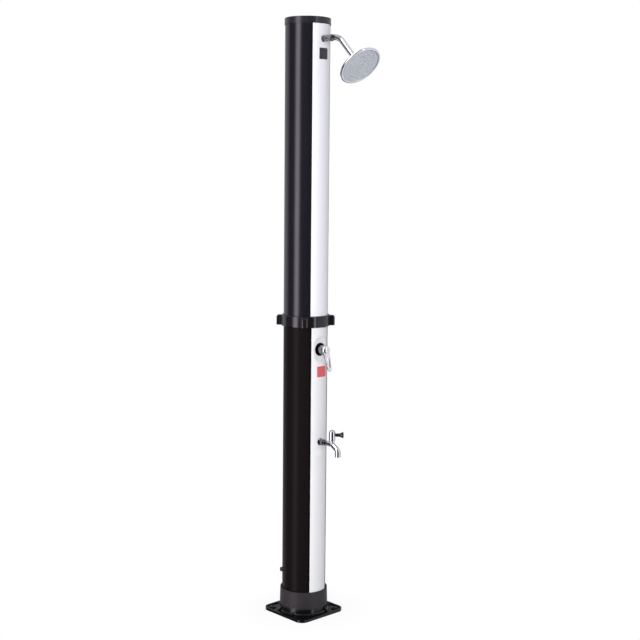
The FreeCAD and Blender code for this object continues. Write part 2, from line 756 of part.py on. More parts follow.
def make_inlet():
    """The inlet through the tank's tunnel: connector, washer and nut, then the tee on the cold line."""
    inlet = place(subpart("inlet_connector"), z="inlet_height", turn=FORWARD)
    back = "(tube_radius + boss_flat + washer_thick)"
    front = "(hose_forward - 4)"
    nut_end = f"({CHANNEL_FLOOR} + nut_thick)"
    flats = sketch_on(inlet, "XY_Plane", f"-({back} + nut_thick)")
    hexagon(flats, "inlet_flange")
    pad(inlet, flats, "nut_thick")
    rod(inlet, "XY_Plane", "0", "0", "inlet_radius", f"-{back}", front)
    revolved(inlet, [
        ("0", f"-({back} + nut_thick)"), ("inlet_thread", f"-({back} + nut_thick)"),
        ("inlet_thread", f"-({back} + inlet_reach - 1.5)"),
        ("inlet_thread - 1.5", f"-({back} + inlet_reach)"),
        ("0", f"-({back} + inlet_reach)"),
    ])
    bore(inlet, "XY_Plane", "0", "0", "water_bore + 1", f"-({back} + inlet_reach + 1)", f"{front} + 1")

    washer = place(subpart("inlet_washer"), y=back, z="inlet_height", turn=FORWARD)
    flat = sketch_on(washer, "XY_Plane")
    disc(flat, "0", "0", "inlet_flange - 1.5")
    disc(flat, "0", "0", "inlet_radius + running_gap")
    pad(washer, flat, "washer_thick")

    nut = place(subpart("inlet_nut"), y=f"-{CHANNEL_FLOOR}", z="inlet_height", turn=FORWARD)
    flats = sketch_on(nut, "XY_Plane")
    hexagon(flats, "nut_radius")
    disc(flats, "0", "0", "inlet_radius + running_gap")
    pad(nut, flats, "nut_thick")

    cold = tee("cold_tee", "inlet_height")
    socket = f"-(hose_forward - {nut_end})"
    rod(cold, "XZ_Plane", "0", "0", "inlet_radius + 2.5", socket, "0")
    bore(cold, "XZ_Plane", "0", "0", "inlet_radius + running_gap", socket, f"{front} - hose_forward")
    bore(cold, "XZ_Plane", "0", "0", "water_bore", f"{front} - hose_forward - 1", "0")
    bore(cold, "XY_Plane", "0", "0", "water_bore",
         "-tee_half - barb_length - 1", "tee_half + barb_length + 1")


def make_water_lines():
    """The lines in the channel: cold up to the tap and mixer, hot down to the mixer, and the riser."""
    elbow("fill_elbow", "0", "inlet_height - fill_drop", [])
    hose("fill_hose", "0", "inlet_height - fill_drop + elbow_half", "inlet_height - tee_half")
    hose("cold_hose_low", "0", "inlet_height + tee_half", "tap_height - tee_half")
    branch = tee("tap_tee", "tap_height")
    rod(branch, "XZ_Plane", "0", "0", "tap_shank + 3.5", "-3", "tap_socket")
    bore(branch, "XZ_Plane", "0", "0", "tap_shank + running_gap", "tee_floor", "tap_socket")
    bore(branch, "XZ_Plane", "0", "0", "branch_bore", "0", "tee_floor + 1")
    bore(branch, "XY_Plane", "0", "0", "water_bore",
         "-tee_half - barb_length - 1", "tee_half + barb_length + 1")
    hose("cold_hose_high", "0", "tap_height + tee_half", f"{MIXER_LEVEL} - mixer_stub")
    hose("riser_hose", "0", f"{MIXER_LEVEL} + mixer_stub", f"{ARM_LEVEL} - tee_half")
    hose("hot_hose", "-hot_line", f"{MIXER_LEVEL} + mixer_stub", f"{OUTLET_LEVEL} - elbow_half")
    elbow("hot_elbow", "-hot_line", OUTLET_LEVEL, [(Y_AXIS, "180")])
    arm = place(subpart("arm_elbow"), y="-hose_forward", z=ARM_LEVEL)
    rod(arm, "XY_Plane", "0", "0", "stub_radius", "-tee_half", "stub_radius")
    rod(arm, "XY_Plane", "0", "0", BARB_RADIUS, "-tee_half - barb_length", "0")
    rod(arm, "XZ_Plane", "0", "0", "arm_radius + 3", "0", "arm_socket")
    bore(arm, "XZ_Plane", "0", "0", "arm_radius + running_gap", "tee_floor", "arm_socket")
    bore(arm, "XZ_Plane", "0", "0", "water_bore", "0", "tee_floor + 1")
    bore(arm, "XY_Plane", "0", "0", "water_bore", "-tee_half - barb_length - 1", "0")
    clips("clips_low", "inlet_height + clip_from", "tap_height - clip_from", "clip_count_low", ["0"])
    clips("clips_middle", "tap_height + clip_from", f"{MIXER_LEVEL} - 2 * clip_from",
          "clip_count_middle", ["0"])
    clips("clips_high", f"{MIXER_LEVEL} + 2 * clip_from", f"{OUTLET_LEVEL} - clip_from", "clip_count_high",
          ["-hot_line", "0"])


# ---- mixer -------------------------------------------------------------------------------------

def make_mixer_housing():
    """The brass body with its three hose ends, the cartridge, and the black cup and neck in front."""
    body = place(subpart("mixer_body"), z=MIXER_LEVEL, turn=FORWARD)
    seal_seat = f"({CARTRIDGE_SEAT} - washer_thick)"
    fit = "(cartridge_radius + running_gap)"
    revolved(body, [
        ("0", CHANNEL_FLOOR), ("mixer_radius", CHANNEL_FLOOR), ("mixer_radius", BEZEL_FLOOR),
        ("spigot_radius", BEZEL_FLOOR), ("spigot_radius", SPIGOT_END), (fit, SPIGOT_END),
        (fit, seal_seat), ("0", seal_seat),
    ])
    end = "(mixer_stub + barb_length)"
    rod(body, "XZ_Plane", "0", "hose_forward", "stub_radius", "-mixer_stub", "mixer_stub")
    rod(body, "XZ_Plane", "0", "hose_forward", BARB_RADIUS, f"-{end}", end)
    rod(body, "YZ_Plane", "0", "hose_forward", "stub_radius", "-hot_line", "0")
    rod(body, "XZ_Plane", "-hot_line", "hose_forward", "stub_radius", "-mixer_stub", "stub_radius")
    rod(body, "XZ_Plane", "-hot_line", "hose_forward", BARB_RADIUS, f"-{end}", "0")
    bore(body, "XZ_Plane", "0", "hose_forward", "water_bore", f"-{end} - 1", f"{end} + 1")
    bore(body, "XZ_Plane", "-hot_line", "hose_forward", "water_bore", f"-{end} - 1", "0")
    bore(body, "YZ_Plane", "0", "hose_forward", "water_bore", "-hot_line", "0")
    bore(body, "XY_Plane", "0", "0", fit, seal_seat, f"{SPIGOT_END} + 1")

    seal = place(subpart("cartridge_seal"), y=f"-{seal_seat}", z=MIXER_LEVEL, turn=FORWARD)
    ring = sketch_on(seal, "XY_Plane")
    disc(ring, "0", "0", "cartridge_radius")
    disc(ring, "0", "0", "cartridge_radius - 3")
    pad(seal, ring, "washer_thick")

    cartridge = place(subpart("cartridge"), y=f"-{CARTRIDGE_SEAT}", z=MIXER_LEVEL, turn=FORWARD)
    rotor_fit = "(rotor_radius + running_gap)"
    revolved(cartridge, [
        ("0", "0"), ("cartridge_radius", "0"), ("cartridge_radius", "cartridge_length"),
        (rotor_fit, "cartridge_length"), (rotor_fit, "cartridge_base"), ("0", "cartridge_base"),
    ])
    port = bore(cartridge, "XY_Plane", "0", "cartridge_radius / 2", "2", "0", "cartridge_base")
    around(cartridge, [port], "3")

    bezel = place(subpart("mixer_bezel"), y=f"-{BEZEL_FLOOR}", z=MIXER_LEVEL, turn=FORWARD)
    wall = "(bezel_cup + bezel_wall)"
    revolved(bezel, [
        ("spigot_radius + running_gap", "0"), (wall, "0"), (wall, "bezel_depth"),
        ("bezel_radius", "bezel_depth"),
        ("bezel_radius", "bezel_depth + 1", ("bezel_radius - 0.3", "bezel_depth + 1.7")),
        ("bezel_radius - 1", "bezel_depth + 2"), ("bezel_cup", "bezel_depth + 2"),
        ("bezel_cup", "bezel_lip"), ("spigot_radius + running_gap", "bezel_lip"),
    ])

    neck = place(subpart("mixer_neck"), y="-pivot_forward", z=MIXER_LEVEL, turn=FORWARD)
    foot = f"({BEZEL_FLOOR} + bezel_lip - pivot_forward)"
    shoulder = f"({CARTRIDGE_SEAT} + cartridge_length - pivot_forward)"
    revolved(neck, [
        ("spigot_radius + running_gap", foot), ("neck_radius + 2", foot), ("neck_radius + 2", f"{foot} + 2"),
        ("neck_radius", f"{foot} + 4"),
        ("neck_radius", "sqrt(dome_radius * dome_radius - neck_radius * neck_radius)",
         ("dome_radius * sin(50)", "dome_radius * cos(50)")),
        ("dome_opening", "sqrt(dome_radius * dome_radius - dome_opening * dome_opening)"),
        ("dome_opening", shoulder), (fit, shoulder), (fit, f"{SPIGOT_END} - pivot_forward"),
        ("spigot_radius + running_gap", f"{SPIGOT_END} - pivot_forward"),
    ])


def make_mixer_lever():
    """The rotor with its pin and stem, and the loop lever that tilts on them."""
    rotor = place(subpart("cartridge_rotor"), y="-pivot_forward", z=MIXER_LEVEL, turn=FORWARD)
    base = f"({CARTRIDGE_SEAT} + cartridge_base - pivot_forward)"
    front = f"({CARTRIDGE_SEAT} + cartridge_length + rotor_ahead - pivot_forward)"
    rod(rotor, "XY_Plane", "0", "0", "rotor_radius", base, front)
    slot = sketch_on(rotor, "XY_Plane", "-(stem_back + 2)")
    side = "(stem_radius + seat_gap)"
    box_loop(slot, f"-{side}", side, "-rotor_radius - 1", "rotor_radius + 1")
    pocket(rotor, slot, "stem_back + rotor_radius + 20")
    bore(rotor, "YZ_Plane", "0", "0", "pin_radius + running_gap", "-rotor_radius - 1", "rotor_radius + 1")

    pin = place(subpart("rotor_pin"), y="-pivot_forward", z=MIXER_LEVEL)
    rod(pin, "YZ_Plane", "0", "0", "pin_radius", "-rotor_radius + 0.6", "rotor_radius - 0.6")

    stem = place(subpart("lever_stem"), y="-pivot_forward", z=MIXER_LEVEL, turn=FORWARD)
    rod(stem, "XY_Plane", "0", "0", "stem_radius", "-stem_back", "stem_front")
    bore(stem, "YZ_Plane", "0", "0", "pin_radius + running_gap", "-stem_radius - 1", "stem_radius + 1")

    lever = place(subpart("mixer_lever"), y="-pivot_forward", z=MIXER_LEVEL)
    skirt = "(dome_radius * cos(45))"
    brow = "(lever_face - lever_dome / 2)"
    below = "(lever_reach + 2)"
    profile = sketch_on(lever, "YZ_Plane")
    loop(profile, [
        (f"-{skirt}", "-2"), (f"-{brow}", "-2"), ("-lever_tip_forward", f"-{below}"),
        ("-(lever_tip_forward - lever_thick)", f"-{below}"),
        (f"-({brow} - lever_thick + 4)", "-(lever_head - 1)"),
        (f"-{skirt}", "-(lever_head - 2)"),
    ])
    pad(lever, profile, "4 * lever_head", middle=True)
    mask = sketch_on(lever, "XZ_Plane")
    box_loop(mask, "-3 * lever_head", "3 * lever_head", "-2 * lever_reach", "2 * lever_head")
    shoulder = "(lever_tip / cos(lever_taper) + (lever_reach - lever_tip) * tan(lever_taper))"
    cheek, low = "lever_tip * cos(lever_taper)", "-(lever_reach - lever_tip) - lever_tip * sin(lever_taper)"
    loop(mask, [
        (shoulder, "0"), (f"-{shoulder}", "0"), (f"-{cheek}", low, ("0", "-lever_reach")), (cheek, low),
    ])
    pocket(lever, mask, "4 * lever_reach", middle=True)
    brow_at, tip_at, reach_at = size_of(brow), size_of("lever_tip_forward"), size_of(below)

    def on_front(edge, middle):
        """Whether an edge bounds the blade's front face, apart from the one inside the head."""
        front = brow_at + (tip_at - brow_at) * (-middle.z - 2) / (reach_at - 2)
        return abs(middle.y + front) < 0.05 and middle.z < -3

    rounded(lever, "lever_round", on_front)
    head = sketch_on(lever, "YZ_Plane")
    swell = "(lever_dome * (1 - cos(45)))"
    loop(head, [
        (f"-{skirt}", "0"), ("-lever_face", "0"),
        ("-lever_face", "lever_head - lever_dome", (f"-(lever_face - {swell})", f"lever_head - {swell}")),
        ("-(lever_face - lever_dome)", "lever_head"), (f"-{skirt}", "lever_head"),
    ])
    feature(lever, "Revolution", head, ReferenceAxis=(head, ["H_Axis"]), Angle=360)
    window = sketch_on(lever, "XZ_Plane")
    small = "(loop_half - 2)"
    loop(window, [
        ("loop_half", "-(loop_top + loop_half)", ("0", "-loop_top")),
        ("-loop_half", "-(loop_top + loop_half)"),
        (f"-{small}", f"-(loop_end - {small})", ("0", "-loop_end")), (small, f"-(loop_end - {small})"),
    ])
    pocket(lever, window, "4 * lever_reach", middle=True)
    hollow = sketch_on(lever, "XY_Plane")
    ball = "(dome_radius + 2 * seat_gap)"
    loop(hollow, [("0", f"-{ball}", (ball, "0")), ("0", ball)])
    feature(lever, "Groove", hollow, ReferenceAxis=(hollow, ["V_Axis"]), Angle=360)
    bore(lever, "XZ_Plane", "0", "0", "stem_radius + running_gap", "dome_radius / 2", "stem_front")
    bore(lever, "XZ_Plane", "0", "0", "dot_radius + running_gap", "lever_face - 2", "lever_face + 5")
    bore(lever, "XY_Plane", "0", f"-({skirt} + 4.4)", "2 + running_gap", "-lever_head - 1", "-stem_radius")

    screw = place(subpart("lever_screw"), y=f"-(pivot_forward + {skirt} + 4.4)", z=MIXER_LEVEL)
    rod(screw, "XY_Plane", "0", "0", "2", "-lever_head + 1", "-(stem_radius + running_gap)")

    dot = place(subpart("lever_dot"), y="-(pivot_forward + lever_face - 2)", z=MIXER_LEVEL, turn=FORWARD)
    revolved(dot, [
        ("0", "0"), ("dot_radius", "0"), ("dot_radius", "3.6", ("dot_radius * 0.7", "4.3")),
        ("1", "4.6"), ("0", "4.6"),
    ])


# ---- foot tap ----------------------------------------------------------------------------------

def make_tap():
    """The bibcock: rosette, body with barrel and spout, turning cap with its grip, spindle and aerator."""
    rosette = place(subpart("tap_rosette"), y=f"-{COVER_OUTER}", z="tap_height", turn=FORWARD)
    revolved(rosette, [
        ("tap_shank + running_gap", "0"), ("tap_rosette", "0"), ("tap_rosette", "1"),
        ("tap_shank + 1.5", "rosette_thick"), ("tap_shank + running_gap", "rosette_thick"),
    ])

    body = place(subpart("tap_body"), z="tap_height", turn=FORWARD)
    rod(body, "XY_Plane", "0", "0", "tap_shank", "hose_forward + tee_floor", "barrel_forward")
    flats = f"({COVER_OUTER} + rosette_thick + 8)"
    collar = sketch_on(body, "XY_Plane", flats)
    hexagon(collar, "tap_shank + 4")
    pad(body, collar, "8")
    rod(body, "XY_Plane", "0", "0", "neck_collar", f"{flats} + 11", f"{flats} + 17")
    rod(body, "XZ_Plane", "0", "barrel_forward", "link_radius", "-barrel_high", "0")
    rod(body, "XZ_Plane", "0", "barrel_forward", "barrel_radius - 1", "-barrel_high", "-barrel_high + 3")
    first = "(spout_sweep * tan(spout_slope / 2))"
    corner = "(-(spout_forward - barrel_forward) * tan(spout_slope))"
    second = "(spout_bend * tan((90 - spout_slope) / 2))"
    half_turn = "((90 - spout_slope) / 2)"
    path = tube_path(body, "YZ_Plane", [
        ("0", f"{flats} + 20"),
        ("0", f"barrel_forward - {first}",
         ("-spout_sweep * (1 - cos(spout_slope / 2))",
          f"barrel_forward - {first} + spout_sweep * sin(spout_slope / 2)")),
        (f"-{first} * sin(spout_slope)", f"barrel_forward + {first} * cos(spout_slope)"),
        (f"{corner} + {second} * sin(spout_slope)", f"spout_forward - {second} * cos(spout_slope)",
         (f"{corner} - {second} + spout_bend * sin({half_turn})",
          f"spout_forward - spout_bend + spout_bend * cos({half_turn})")),
        (f"{corner} - {second}", "spout_forward"), ("-(spout_end - 2)", "spout_forward"),
    ])
    round_section = sketch_on(body, "XY_Plane", f"{flats} + 20")
    disc(round_section, "0", "0", "spout_radius")
    swept(body, round_section, path)
    rod(body, "XZ_Plane", "0", "spout_forward", "spout_tip", "spout_end - spout_collar", "spout_end")
    bore(body, "XZ_Plane", "0", "spout_forward", "spout_radius + running_gap",
         "spout_end - spout_collar / 2", "spout_end + 1")
    bore(body, "XZ_Plane", "0", "barrel_forward", "spindle_radius + running_gap",
         "-barrel_high - 1", "-barrel_low")
    bore(body, "XY_Plane", "0", "0", "water_bore", "hose_forward", "barrel_forward")

    aerator = place(subpart("tap_aerator"), y="-spout_forward", z="tap_height - spout_end")
    cup = "(spout_collar / 2)"
    revolved(aerator, [
        ("0", "1.5"), ("spout_radius - 2", "1.5"), ("spout_radius - 2", "0"), ("spout_radius", "0"),
        ("spout_radius", cup), ("0", cup),
    ])

    nut = place(subpart("tap_nut"), y=f"-({behind_cover('nut_radius')} - nut_thick)",
                z="tap_height", turn=FORWARD)
    flats = sketch_on(nut, "XY_Plane")
    hexagon(flats, "nut_radius")
    disc(flats, "0", "0", "tap_shank + running_gap")
    pad(nut, flats, "nut_thick")

    spindle = place(subpart("tap_spindle"), y="-barrel_forward", z="tap_height")
    rod(spindle, "XY_Plane", "0", "0", "spindle_radius", "barrel_low", "barrel_high")
    rod(spindle, "XY_Plane", "0", "0", "spindle_radius / 2", "barrel_high - 1", "barrel_high + 12")

    cap = place(subpart("tap_cap"), y="-barrel_forward", z="tap_height + barrel_high",
                turn=[(Z_AXIS, "grip_angle")])
    crown = "(barrel_top - barrel_high)"
    revolved(cap, [
        ("0", "0"), ("barrel_radius - 1", "0"), ("barrel_radius", "1"),
        ("barrel_radius", f"{crown} - 8", ("barrel_radius * 0.83", f"{crown} - 3")),
        ("barrel_radius * 0.5", f"{crown} - 0.8", ("barrel_radius * 0.25", f"{crown} - 0.2")),
        ("1", crown), ("0", crown),
    ])
    bore(cap, "XY_Plane", "0", "0", "spindle_radius / 2 + running_gap", "-1", "12")
    bore(cap, "XZ_Plane", "0", "grip_height - barrel_high", "stud_radius + running_gap",
         "stud_root", "barrel_radius + 1")

    grip = place(subpart("tap_grip"), y="-barrel_forward", z="tap_height + grip_height",
                 turn=[(Z_AXIS, "grip_angle"), (X_AXIS, "90")])
    root = "(barrel_radius + seat_gap)"
    waist = f"({root} + (grip_reach - {root}) * 0.4)"
    revolved(grip, [
        ("0", "stud_root"), ("stud_radius", "stud_root"), ("stud_radius", root),
        ("grip_root", root, (f"(grip_root + grip_waist) / 2 - 0.2", f"({root} + {waist}) / 2")),
        ("grip_waist", waist, ("grip_waist + 1.3", f"({waist} + grip_reach - 4) / 2 + 1")),
        ("grip_end - 0.5", "grip_reach - 4", ("grip_end", "grip_reach - 3")),
        ("grip_end - 0.6", "grip_reach - 2", ("grip_end * 0.55", "grip_reach - 0.5")),
        ("1", "grip_reach"), ("0", "grip_reach"),
    ])


def behind_cover(radius):
    """How far forward a flat nut of this radius reaches behind the curved cover."""
    return f"(sqrt({COVER_INNER} * {COVER_INNER} - {radius} * {radius}) - seat_gap)"


# ---- shower arm and head -----------------------------------------------------------------------

def make_arm():
    """The bent chrome tube with its rosette outside the cover and its nut behind it."""
    rosette = place(subpart("arm_rosette"), y=f"-{COVER_OUTER}", z=ARM_LEVEL, turn=FORWARD)
    revolved(rosette, [
        ("arm_radius + running_gap", "0"), ("rosette_radius", "0"), ("rosette_radius", "1.5"),
        ("arm_radius + 1", "rosette_thick"), ("arm_radius + running_gap", "rosette_thick"),
    ])

    arm = place(subpart("shower_arm"), z=ARM_LEVEL)
    start = "(hose_forward + tee_floor)"
    run = "(arm_bend * tan(arm_drop / 2))"
    path = tube_path(arm, "YZ_Plane", [
        (f"-{start}", "0"),
        (f"-(arm_corner - {run})", "0",
         (f"-(arm_corner - {run} + arm_bend * sin(arm_drop / 2))", "-arm_bend * (1 - cos(arm_drop / 2))")),
        (f"-(arm_corner + {run} * cos(arm_drop))", f"-{run} * sin(arm_drop)"),
        ("-(arm_corner + arm_run * cos(arm_drop))", "-arm_run * sin(arm_drop)"),
    ])
    section = sketch_on(arm, "XZ_Plane", start)
    disc(section, "0", "0", "arm_radius")
    disc(section, "0", "0", "arm_radius - arm_wall")
    swept(arm, section, path)

    nut = place(subpart("arm_nut"), y=f"-({behind_cover('nut_radius')} - arm_nut_thick)",
                z=ARM_LEVEL, turn=FORWARD)
    flats = sketch_on(nut, "XY_Plane")
    hexagon(flats, "nut_radius")
    disc(flats, "0", "0", "arm_radius + running_gap")
    pad(nut, flats, "arm_nut_thick")


def along_arm(label):
    """A body whose Z axis runs down the arm's slope from the ball's centre."""
    return place(subpart(label), y="-(arm_corner + ball_ahead * cos(arm_drop))",
                 z=f"{ARM_LEVEL} - ball_ahead * sin(arm_drop)", turn=[(X_AXIS, "90 + arm_drop")])


def on_ball(radius, ahead):
    """The radius at which a sphere about the ball's centre passes a distance ahead of it."""
    return f"sqrt(({radius}) * ({radius}) - ({ahead}) * ({ahead}))"


def make_head():
    """The ball joint and the shower head: seat ring, nut, dished shell, nozzle mat and face."""
    ball = along_arm("swivel_ball")
    plug = "(arm_radius - arm_wall - running_gap)"
    tube_end = "(arm_run - ball_ahead)"
    waist = "(ball_radius * 0.6)"
    revolved(ball, [
        ("0", f"{tube_end} - 12"), (plug, f"{tube_end} - 12"), (plug, tube_end), ("arm_radius", tube_end),
        ("arm_radius", f"{tube_end} + 1.5"), (waist, f"{tube_end} + 2.5"),
        (waist, f"-{on_ball('ball_radius', waist)}", ("ball_radius", "0")), ("0", "ball_radius"),
    ])
    bore(ball, "XY_Plane", "0", "0", "water_bore", f"{tube_end} - 13", "ball_radius + 1")

    seat = along_arm("swivel_seat")
    inside, outside = "(ball_radius + seat_gap)", "(ball_radius + seat_gap + seat_wall)"
    back, front = "-(ball_radius * 0.45)", "(ball_radius * 0.7)"
    revolved(seat, [
        (on_ball(outside, back), back, (outside, "0")), (on_ball(outside, front), front),
        (on_ball(inside, front), front, (inside, "0")), (on_ball(inside, back), back),
    ])

    nut = along_arm("swivel_nut")
    cup = "(ball_radius + 2 * seat_gap + seat_wall)"
    lip = "-(ball_radius * 0.75)"
    thread = f"({cup} + 1.3)"
    revolved(nut, [
        (on_ball(cup, lip), lip, (f"{cup} * cos(20)", f"-{cup} * sin(20)")), (cup, "0"),
        (f"{thread} + running_gap", "0"), (f"{thread} + running_gap", "nut_skirt"),
        ("head_neck", "nut_skirt"),
        ("head_neck", f"{lip} + 2"), ("head_neck - 2", lip),
    ])

    shell = along_arm("head_shell")
    face = "(head_ahead - ball_ahead)"
    rim = f"({face} - head_edge)"
    crown = f"({face} - head_crown)"
    ledge = f"({face} - face_sink - face_thick)"
    revolved(shell, [
        (cup, "0", (f"{cup} * cos(35)", f"{cup} * sin(35)")), ("water_bore", on_ball(cup, "water_bore")),
        ("water_bore", f"{crown} + 3"), ("head_neck", f"{crown} + 3", ("head_radius * 0.6", f"{rim} - 3")),
        ("face_radius - 2", f"{ledge} - mat_thick"), ("face_radius - 2", ledge),
        ("face_radius + running_gap", ledge), ("face_radius + running_gap", f"{face} - 0.4"),
        ("face_radius + 1.2", face, ("head_radius - 0.5", f"{face} - 0.9")), ("head_radius", f"{face} - 2.2"),
        ("head_radius", rim, ("head_radius * 0.6", f"{crown} + 6.5")), ("head_neck + 3", f"{crown} + 0.5"),
        ("head_neck", f"{crown} - 1"), (thread, f"{crown} - 1"), (thread, "0"),
    ])

    mat = along_arm("nozzle_mat")
    rod(mat, "XY_Plane", "0", "0", "face_radius - 2.3", f"{ledge} - mat_thick", ledge)
    plate = along_arm("head_face")
    rod(plate, "XY_Plane", "0", "0", "face_radius", ledge, f"{ledge} + face_thick")
    for ring in range(1, RINGS + 1):
        place_on_ring = f"(nozzle_pitch * {ring})"
        count = f"nozzle_count * {ring}"
        nozzle = rod(mat, "XY_Plane", "0", place_on_ring, "nozzle_radius",
                     f"{ledge} - mat_thick / 2", f"{face} + 0.8")
        around(mat, [nozzle], count)
        hole = bore(plate, "XY_Plane", "0", place_on_ring, "nozzle_radius + running_gap",
                    f"{ledge} - 1", f"{face} + 1")
        around(plate, [hole], count)


# ---- drain plug --------------------------------------------------------------------------------

def make_drain():
    """The drain near the foot: a pale seat in the tank's wall and a dark plug with its O-ring."""
    turn = [(Z_AXIS, "-drain_angle"), (X_AXIS, "90")]
    wall = "(tube_radius + seat_gap)"
    bush = "(drain_radius + 2)"
    seat = place(subpart("drain_seat"), z="drain_height", turn=turn)
    revolved(seat, [
        ("drain_radius + running_gap", "tube_radius - 9"), (bush, "tube_radius - 9"), (bush, wall),
        (f"{bush} + 1.5", wall), (f"{bush} + 1.5", f"{wall} + 1.5"), (f"{bush} + 0.5", f"{wall} + 2.5"),
        ("drain_radius + running_gap", f"{wall} + 2.5"),
    ])
    plug = place(subpart("drain_plug"), z="drain_height", turn=turn)
    knob = f"({wall} + 2.5)"
    groove = "(drain_radius - 2 * seal_wire)"
    revolved(plug, [
        ("0", "tube_radius - 10"), ("drain_radius", "tube_radius - 10"), ("drain_radius", "tube_radius - 5"),
        (groove, "tube_radius - 5"), (groove, "tube_radius - 5 + 2 * seal_wire"),
        ("drain_radius", "tube_radius - 5 + 2 * seal_wire"), ("drain_radius", knob), ("drain_knob", knob),
        ("drain_knob", f"{wall} + drain_rise - 1.5", ("drain_knob - 0.5", f"{wall} + drain_rise - 0.5")),
        ("drain_knob - 1.5", f"{wall} + drain_rise"), ("0", f"{wall} + drain_rise"),
    ])
    ring = place(subpart("drain_ring"), z="drain_height", turn=turn)
    wire = sketch_on(ring, "XZ_Plane")
    disc(wire, "drain_radius - seal_wire", "tube_radius - 5 + seal_wire", "seal_wire")
    feature(ring, "Revolution", wire, ReferenceAxis=(wire, ["V_Axis"]), Angle=360)


# ---- the whole post ----------------------------------------------------------------------------

make_base_foot()
make_lower_tank()
make_upper_tank()
make_union()
make_transfer_seals()
make_cap()
make_covers()
make_inlet()
make_water_lines()
make_mixer_housing()
make_mixer_lever()
make_tap()
make_arm()
make_head()
make_drain()

document.recompute()
for item in document.Objects:
    if "Invalid" in item.State or "Error" in item.State:
        raise RuntimeError(f"{item.Label} is {item.State}")
for body in SUBPARTS:
    if body.Shape.isNull() or not body.Shape.isValid():
        raise RuntimeError(f"{body.Label} has no valid shape")

os.makedirs("parts", exist_ok=True)
for body in SUBPARTS:
    body.Shape.exportStep(f"parts/{body.Label}.step")
    print(f"{body.Label}: {len(body.Shape.Solids)} solid(s), {body.Shape.Volume / 1000:.1f} cm3")
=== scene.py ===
# %% [markdown]
# # Outdoor shower post
# This lesson dresses a solar garden shower: two black water tanks one above the other, a pale cover down
# the front, a chrome arm with a round head, a lever mixer and a foot tap. The solid pieces come from the
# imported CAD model. They are never moved or reshaped here. We give them finishes, add the small things
# that CAD leaves out, and set up a camera and a soft studio.

# %% Load the solid pieces
import json
import math

import bmesh
import bpy
from mathutils import Matrix, Vector


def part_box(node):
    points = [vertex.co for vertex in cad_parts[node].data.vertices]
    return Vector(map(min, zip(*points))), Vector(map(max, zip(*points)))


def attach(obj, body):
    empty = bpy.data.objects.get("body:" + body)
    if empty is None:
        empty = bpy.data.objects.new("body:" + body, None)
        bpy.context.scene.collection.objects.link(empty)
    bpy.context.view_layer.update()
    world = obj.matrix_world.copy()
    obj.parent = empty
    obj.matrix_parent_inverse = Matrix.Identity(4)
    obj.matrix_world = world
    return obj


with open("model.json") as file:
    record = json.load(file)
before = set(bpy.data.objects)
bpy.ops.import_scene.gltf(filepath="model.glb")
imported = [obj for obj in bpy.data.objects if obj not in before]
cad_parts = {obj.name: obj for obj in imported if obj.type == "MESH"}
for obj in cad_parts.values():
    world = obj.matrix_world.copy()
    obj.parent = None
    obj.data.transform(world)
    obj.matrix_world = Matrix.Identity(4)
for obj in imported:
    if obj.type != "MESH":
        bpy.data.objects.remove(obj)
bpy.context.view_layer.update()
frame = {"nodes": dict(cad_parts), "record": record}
nodes = frame["nodes"]

# %% [markdown]
# ## Sizes that several pieces share
# Everything is in metres, with Z up and the front facing -Y. A piece that sits on the tube is easiest to
# place by three numbers: how far round the tube it is, how far out from the axis, and how high up.
# `on_tube` turns those into x, y and z. An angle of 0 is the very front, and it grows towards +X. `facing`
# stands a shape up along any direction, and `dressed` makes a finished piece of one.

# %% Places on the tube and new pieces
cover_low, cover_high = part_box("upper_cover")
COVER_RADIUS = -cover_low.y
print("the cover's outside is", round(COVER_RADIUS * 1000, 1), "mm from the axis")


def on_tube(angle, radius, height):
    """The point at an angle round from the front, a radius from the axis and a height."""
    turn = math.radians(angle)
    return Vector((radius * math.sin(turn), -radius * math.cos(turn), height))


def facing(place, direction):
    """The matrix that carries the Z axis onto a direction and the origin to a place."""
    turn = Vector(direction).to_track_quat("Z", "Y")
    return Matrix.Translation(place) @ turn.to_matrix().to_4x4()


def dressed(mesh, name, material, body, smooth=True, thickness=0.0):
    """Turn a bmesh into a piece with a finish, on a body of the record; a thickness makes a sheet solid."""
    solid = bpy.data.meshes.new(name)
    mesh.to_mesh(solid)
    mesh.free()
    for face in solid.polygons:
        face.use_smooth = smooth
    solid.materials.append(material)
    piece = bpy.data.objects.new(name, solid)
    bpy.context.scene.collection.objects.link(piece)
    if thickness:
        thick = piece.modifiers.new("thickness", "SOLIDIFY")
        thick.thickness, thick.offset = thickness, 1.0
    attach(piece, body)
    return piece


# %% [markdown]
# ## Camera
# The camera stands to the left of the front, a little above the middle of the post, and looks slightly
# down. A long lens keeps the tube's sides almost parallel. The picture it copies leans by half a degree,
# so the camera is rolled by that much about its own line of sight.

# %% Camera
LENS = 68.06
CAMERA_PLACE = Vector((-2.970, -3.233, 1.628))
LOOKS_DOWN = math.radians(6.9)
ROLL = math.radians(0.52)
level = Vector((0.6853, 0.7283, 0)).normalized()
sight = level * math.cos(LOOKS_DOWN) - Vector((0, 0, math.sin(LOOKS_DOWN)))
camera = bpy.data.objects.new("camera", bpy.data.cameras.new("camera"))
bpy.context.scene.collection.objects.link(camera)
camera.data.lens = LENS
camera.location = CAMERA_PLACE
upright = sight.to_track_quat("-Z", "Y").to_matrix()
camera.rotation_euler = (upright @ Matrix.Rotation(ROLL, 3, "Z")).to_euler()
bpy.context.scene.camera = camera

# %% [markdown]
# ## Studio
# The post stands in a white studio. Plastic and chrome look right only when they have the right things to
# reflect, so light and reflections are set apart here. One big soft lamp beside the camera and one weak
# lamp on the left do the lighting, and mirrors don't see them. What mirrors see is painted on the world
# instead, further down: two bright strips, pale walls, and the dark part of the room.

# %% World and lamps
bpy.context.scene.view_settings.view_transform = "Standard"


